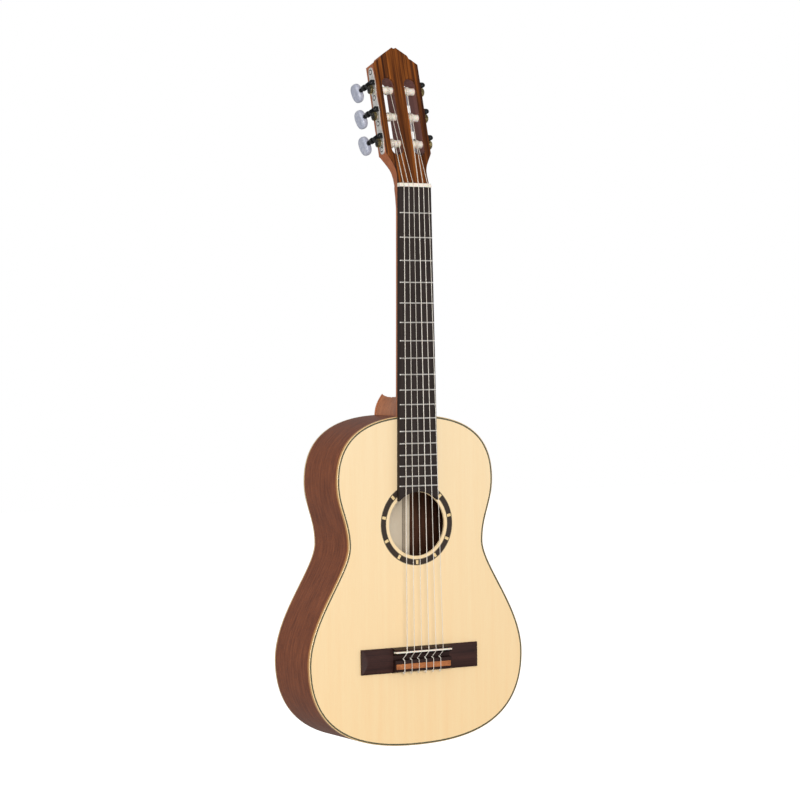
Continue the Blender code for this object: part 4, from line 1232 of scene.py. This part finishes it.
def build_worm(number, side, row):
    """Worm, journals, collar, ferrule and button stem on one shaft."""
    axis = head(side * GEAR_X, row + WORM_OFFSET, 0.0)
    along = HEAD_BACK.cross(HEAD_UP)
    place = lambda depth: axis + HEAD_BACK * depth
    start = ROLLER_DEPTH - WORM_LEAD * 1.5
    profile = [(2.2, 1.3), (2.4, 1.6), (5.5, 1.6), (5.7, 1.95), (13.9, 1.95), (14.1, 1.6), (17.4, 1.6)]
    profile += [(17.6, 2.4), (17.8, 2.6), (20.0, 2.6), (20.2, 2.4), (20.3, 1.3), (21.3, 1.3), (21.4, 3.3)]
    profile += [(21.9, 3.8), (22.6, 4.0), (25.8, 4.0), (26.5, 3.8), (27.0, 3.3), (27.1, 1.2), (31.0, 1.2)]
    profile += [(31.2, 2.5), (31.6, 2.9), (33.9, 2.9), (34.3, 2.6), (34.4, 1.5), (41.8, 1.5)]
    shaft = turned(place, HEAD_UP, along, profile, 36)
    rings = []
    steps = 40
    turns = 3
    for k in range(steps * turns + 1):
        angle = 2 * math.pi * k / steps
        out = around(HEAD_UP, along, angle)
        rise = min(1.0, k / (steps / 3), (steps * turns - k) / (steps / 3))
        depth = start + WORM_LEAD * k / steps
        tip = 1.9 + 1.4 * rise
        ring = []
        for reach, radius in ((-0.5, 1.8), (-0.24, tip), (0.24, tip), (0.5, 1.8)):
            ring.append(place(depth + reach * 1.15) + out * radius)
        rings.append(ring)
    shape = merge([shaft, skin(rings)])
    piece(f"worm_{number}", shape, "black", body=f"peg_{number}", stands_for=f"worm_shaft_{number}")


def build_gear(number, side, row):
    tooth = 2 * math.pi / GEAR_TEETH
    flanks = ((-0.5, 4.4), (-0.25, 4.5), (-0.12, 5.65), (0.0, 5.75), (0.12, 5.65), (0.25, 4.5))
    corners = []
    for k in range(GEAR_TEETH):
        middle = tooth * (k + 0.5)
        for reach, radius in flanks:
            corners.append((middle + reach * tooth, radius))
    place = lambda x: head(side * x, row, ROLLER_DEPTH)
    face = GEAR_WIDTH / 2
    rings = []
    for shift, shrink in ((-face, 0.97), (-1.5, 1.0), (1.5, 1.0), (face, 0.97)):
        centre = place(GEAR_X + shift)
        spokes = [around(HEAD_UP, HEAD_BACK, angle) * (radius * shrink) for angle, radius in corners]
        rings.append([centre + spoke for spoke in spokes])
    body = f"roller_{number}"
    piece(f"gear_wheel_{number}", skin(rings), "brass", body=body, stands_for=f"gear_{number}")
    rim = [(39.2, 3.4), (39.9, 3.4), (40.1, 3.2), (40.1, 2.3), (39.6, 2.2)]
    piece(f"gear_washer_{number}", turned(place, HEAD_UP, HEAD_BACK, rim, 32), "brass", body=body)
    screw(place(39.9), X * side, 2.1, f"gear_screw_{number}", body, "black")


def build_roller(number, side, row):
    place = lambda x: head(side * x, row, ROLLER_DEPTH)
    profile = [(4.0, 3.2), (4.15, 4.0), (4.5, 4.6), (5.2, 4.9), (8.5, 4.9), (9.2, 4.75)]
    profile += [(24.0, 4.75), (24.6, 4.9), (32.2, 4.9), (32.25, 2.0), (35.6, 2.0)]
    shape = turned(place, HEAD_UP, HEAD_BACK, profile, 40)
    stands_for = f"string_roller_{number}"
    piece(f"roller_post_{number}", shape, "roller", body=f"roller_{number}", stands_for=stands_for)


def build_button(number, side, row):
    """A pillow-shaped grip with slightly hollow faces, turned a little from the headstock's line."""
    turn = math.radians(-14)
    wide = HEAD_UP * math.cos(turn) + X * math.sin(turn)
    thick = X * math.cos(turn) - HEAD_UP * math.sin(turn)
    middle = head(side * GEAR_X, row + WORM_OFFSET, BUTTON_CENTRE)
    rings = []
    for k in range(25):
        t = math.sin(math.pi / 2 * (k - 12) / 12) * 0.995
        wide_part = (1 - abs(t) ** 2.7) ** (1 / 2.7)
        thick_part = (1 - abs(t) ** 4.5) ** (1 / 4.5)
        ring = []
        for j in range(40):
            angle = 2 * math.pi * j / 40
            a = math.copysign(abs(math.cos(angle)) ** 0.8, math.cos(angle)) * wide_part
            b = math.copysign(abs(math.sin(angle)) ** 0.55, math.sin(angle)) * thick_part
            dish = 1 - 0.1 * max(0.0, 1 - (a * a + t * t) / 0.5)
            spoke = wide * (BUTTON_HALF_WIDTH * a) + thick * (BUTTON_HALF_THICKNESS * b * dish)
            ring.append(middle + HEAD_BACK * (t * BUTTON_HALF_LENGTH) + spoke)
        rings.append(ring)
    piece(f"grip_{number}", skin(rings), "pearl", body=f"peg_{number}", stands_for=f"button_{number}")


def build_machine_heads():
    build_plate("tuner_plate_bass", -1)
    build_plate("tuner_plate_treble", 1)
    for number in range(1, 7):
        side, index = roller_place(number)
        for build in (build_worm, build_gear, build_roller, build_button):
            build(number, side, ROLLER_ROWS[index])


# ---------------------------------------------------------------- studio


def build_camera():
    """A long lens level with the body, from the bass side."""
    yaw = math.radians(30.039)
    pitch = math.radians(-0.719)
    roll = math.radians(-0.678)
    forward = Vector((math.sin(yaw) * math.cos(pitch), math.cos(yaw) * math.cos(pitch), math.sin(pitch)))
    level_right = Vector((math.cos(yaw), -math.sin(yaw), 0))
    level_up = level_right.cross(forward)
    right = level_right * math.cos(roll) + level_up * math.sin(roll)
    up = level_up * math.cos(roll) - level_right * math.sin(roll)
    data = bpy.data.cameras.new("camera")
    data.lens = 108.33
    data.sensor_width = 36
    camera = bpy.data.objects.new("camera", data)
    place = Matrix((right, up, -forward)).transposed().to_4x4()
    place.translation = Vector((-1.55888, -2.65666, -0.233))
    camera.matrix_world = place
    show(camera)
    bpy.context.scene.camera = camera


def lamp(name, place, target, size, power):
    data = bpy.data.lights.new(name, "AREA")
    data.shape = "DISK"
    data.size = size
    data.energy = power
    made = bpy.data.objects.new(name, data)
    made.location = place
    made.rotation_mode = "QUATERNION"
    made.rotation_quaternion = (Vector(target) - Vector(place)).to_track_quat("-Z", "Y")
    show(made)


def build_studio():
    scene = bpy.context.scene
    scene.view_settings.view_transform = "Standard"
    world = bpy.data.worlds.new("studio")
    world.use_nodes = True
    scene.world = world
    tree = world.node_tree
    seen = tree.nodes["Background"]
    seen.inputs[0].default_value = (1, 1, 1, 1)
    seen.inputs[1].default_value = 1.0
    soft = tree.nodes.new("ShaderNodeBackground")
    soft.inputs[0].default_value = (1, 1, 1, 1)
    soft.inputs[1].default_value = 0.36
    path = tree.nodes.new("ShaderNodeLightPath")
    mixed = tree.nodes.new("ShaderNodeMixShader")
    tree.links.new(path.outputs["Is Camera Ray"], mixed.inputs[0])
    tree.links.new(soft.outputs[0], mixed.inputs[1])
    tree.links.new(seen.outputs[0], mixed.inputs[2])
    tree.links.new(mixed.outputs[0], tree.nodes["World Output"].inputs[0])
    lamp("key", (-1.3, -3.2, -0.05), (0, 0, -0.4), 1.5, 80)
    lamp("fill", (2.6, -2.4, 0.2), (0, 0, -0.4), 2.2, 12)
    lamp("side", (-3.2, -0.6, 1.0), (0, 0, -0.3), 2.4, 15)

    floor_z = -1.25
    reach = 14.0
    corners = [(x * reach, y * reach, floor_z) for x, y in ((-1, -1), (1, -1), (1, 1), (-1, 1))]
    floor = bpy.data.meshes.new("floor")
    floor.from_pydata(corners, [], [(0, 1, 2, 3)])
    made = bpy.data.objects.new("floor", floor)
    pale = Finish("floor", 0.9)
    cloud = pale.noise((900.0, 900.0, 900.0), 2.0)
    pale.colour(pale.ramp(cloud, [(0.3, (247, 247, 247)), (0.7, (250, 250, 250))]))
    pale.shader.inputs["Emission Color"].default_value = (1, 1, 1, 1)
    pale.shader.inputs["Emission Strength"].default_value = 0.9
    floor.materials.append(pale.material)
    made.visible_diffuse = False
    made.visible_glossy = False
    show(made)


build_camera()
build_body()
build_neck()
build_fingerboard()
build_strings()
build_bridge()
build_machine_heads()
build_studio()
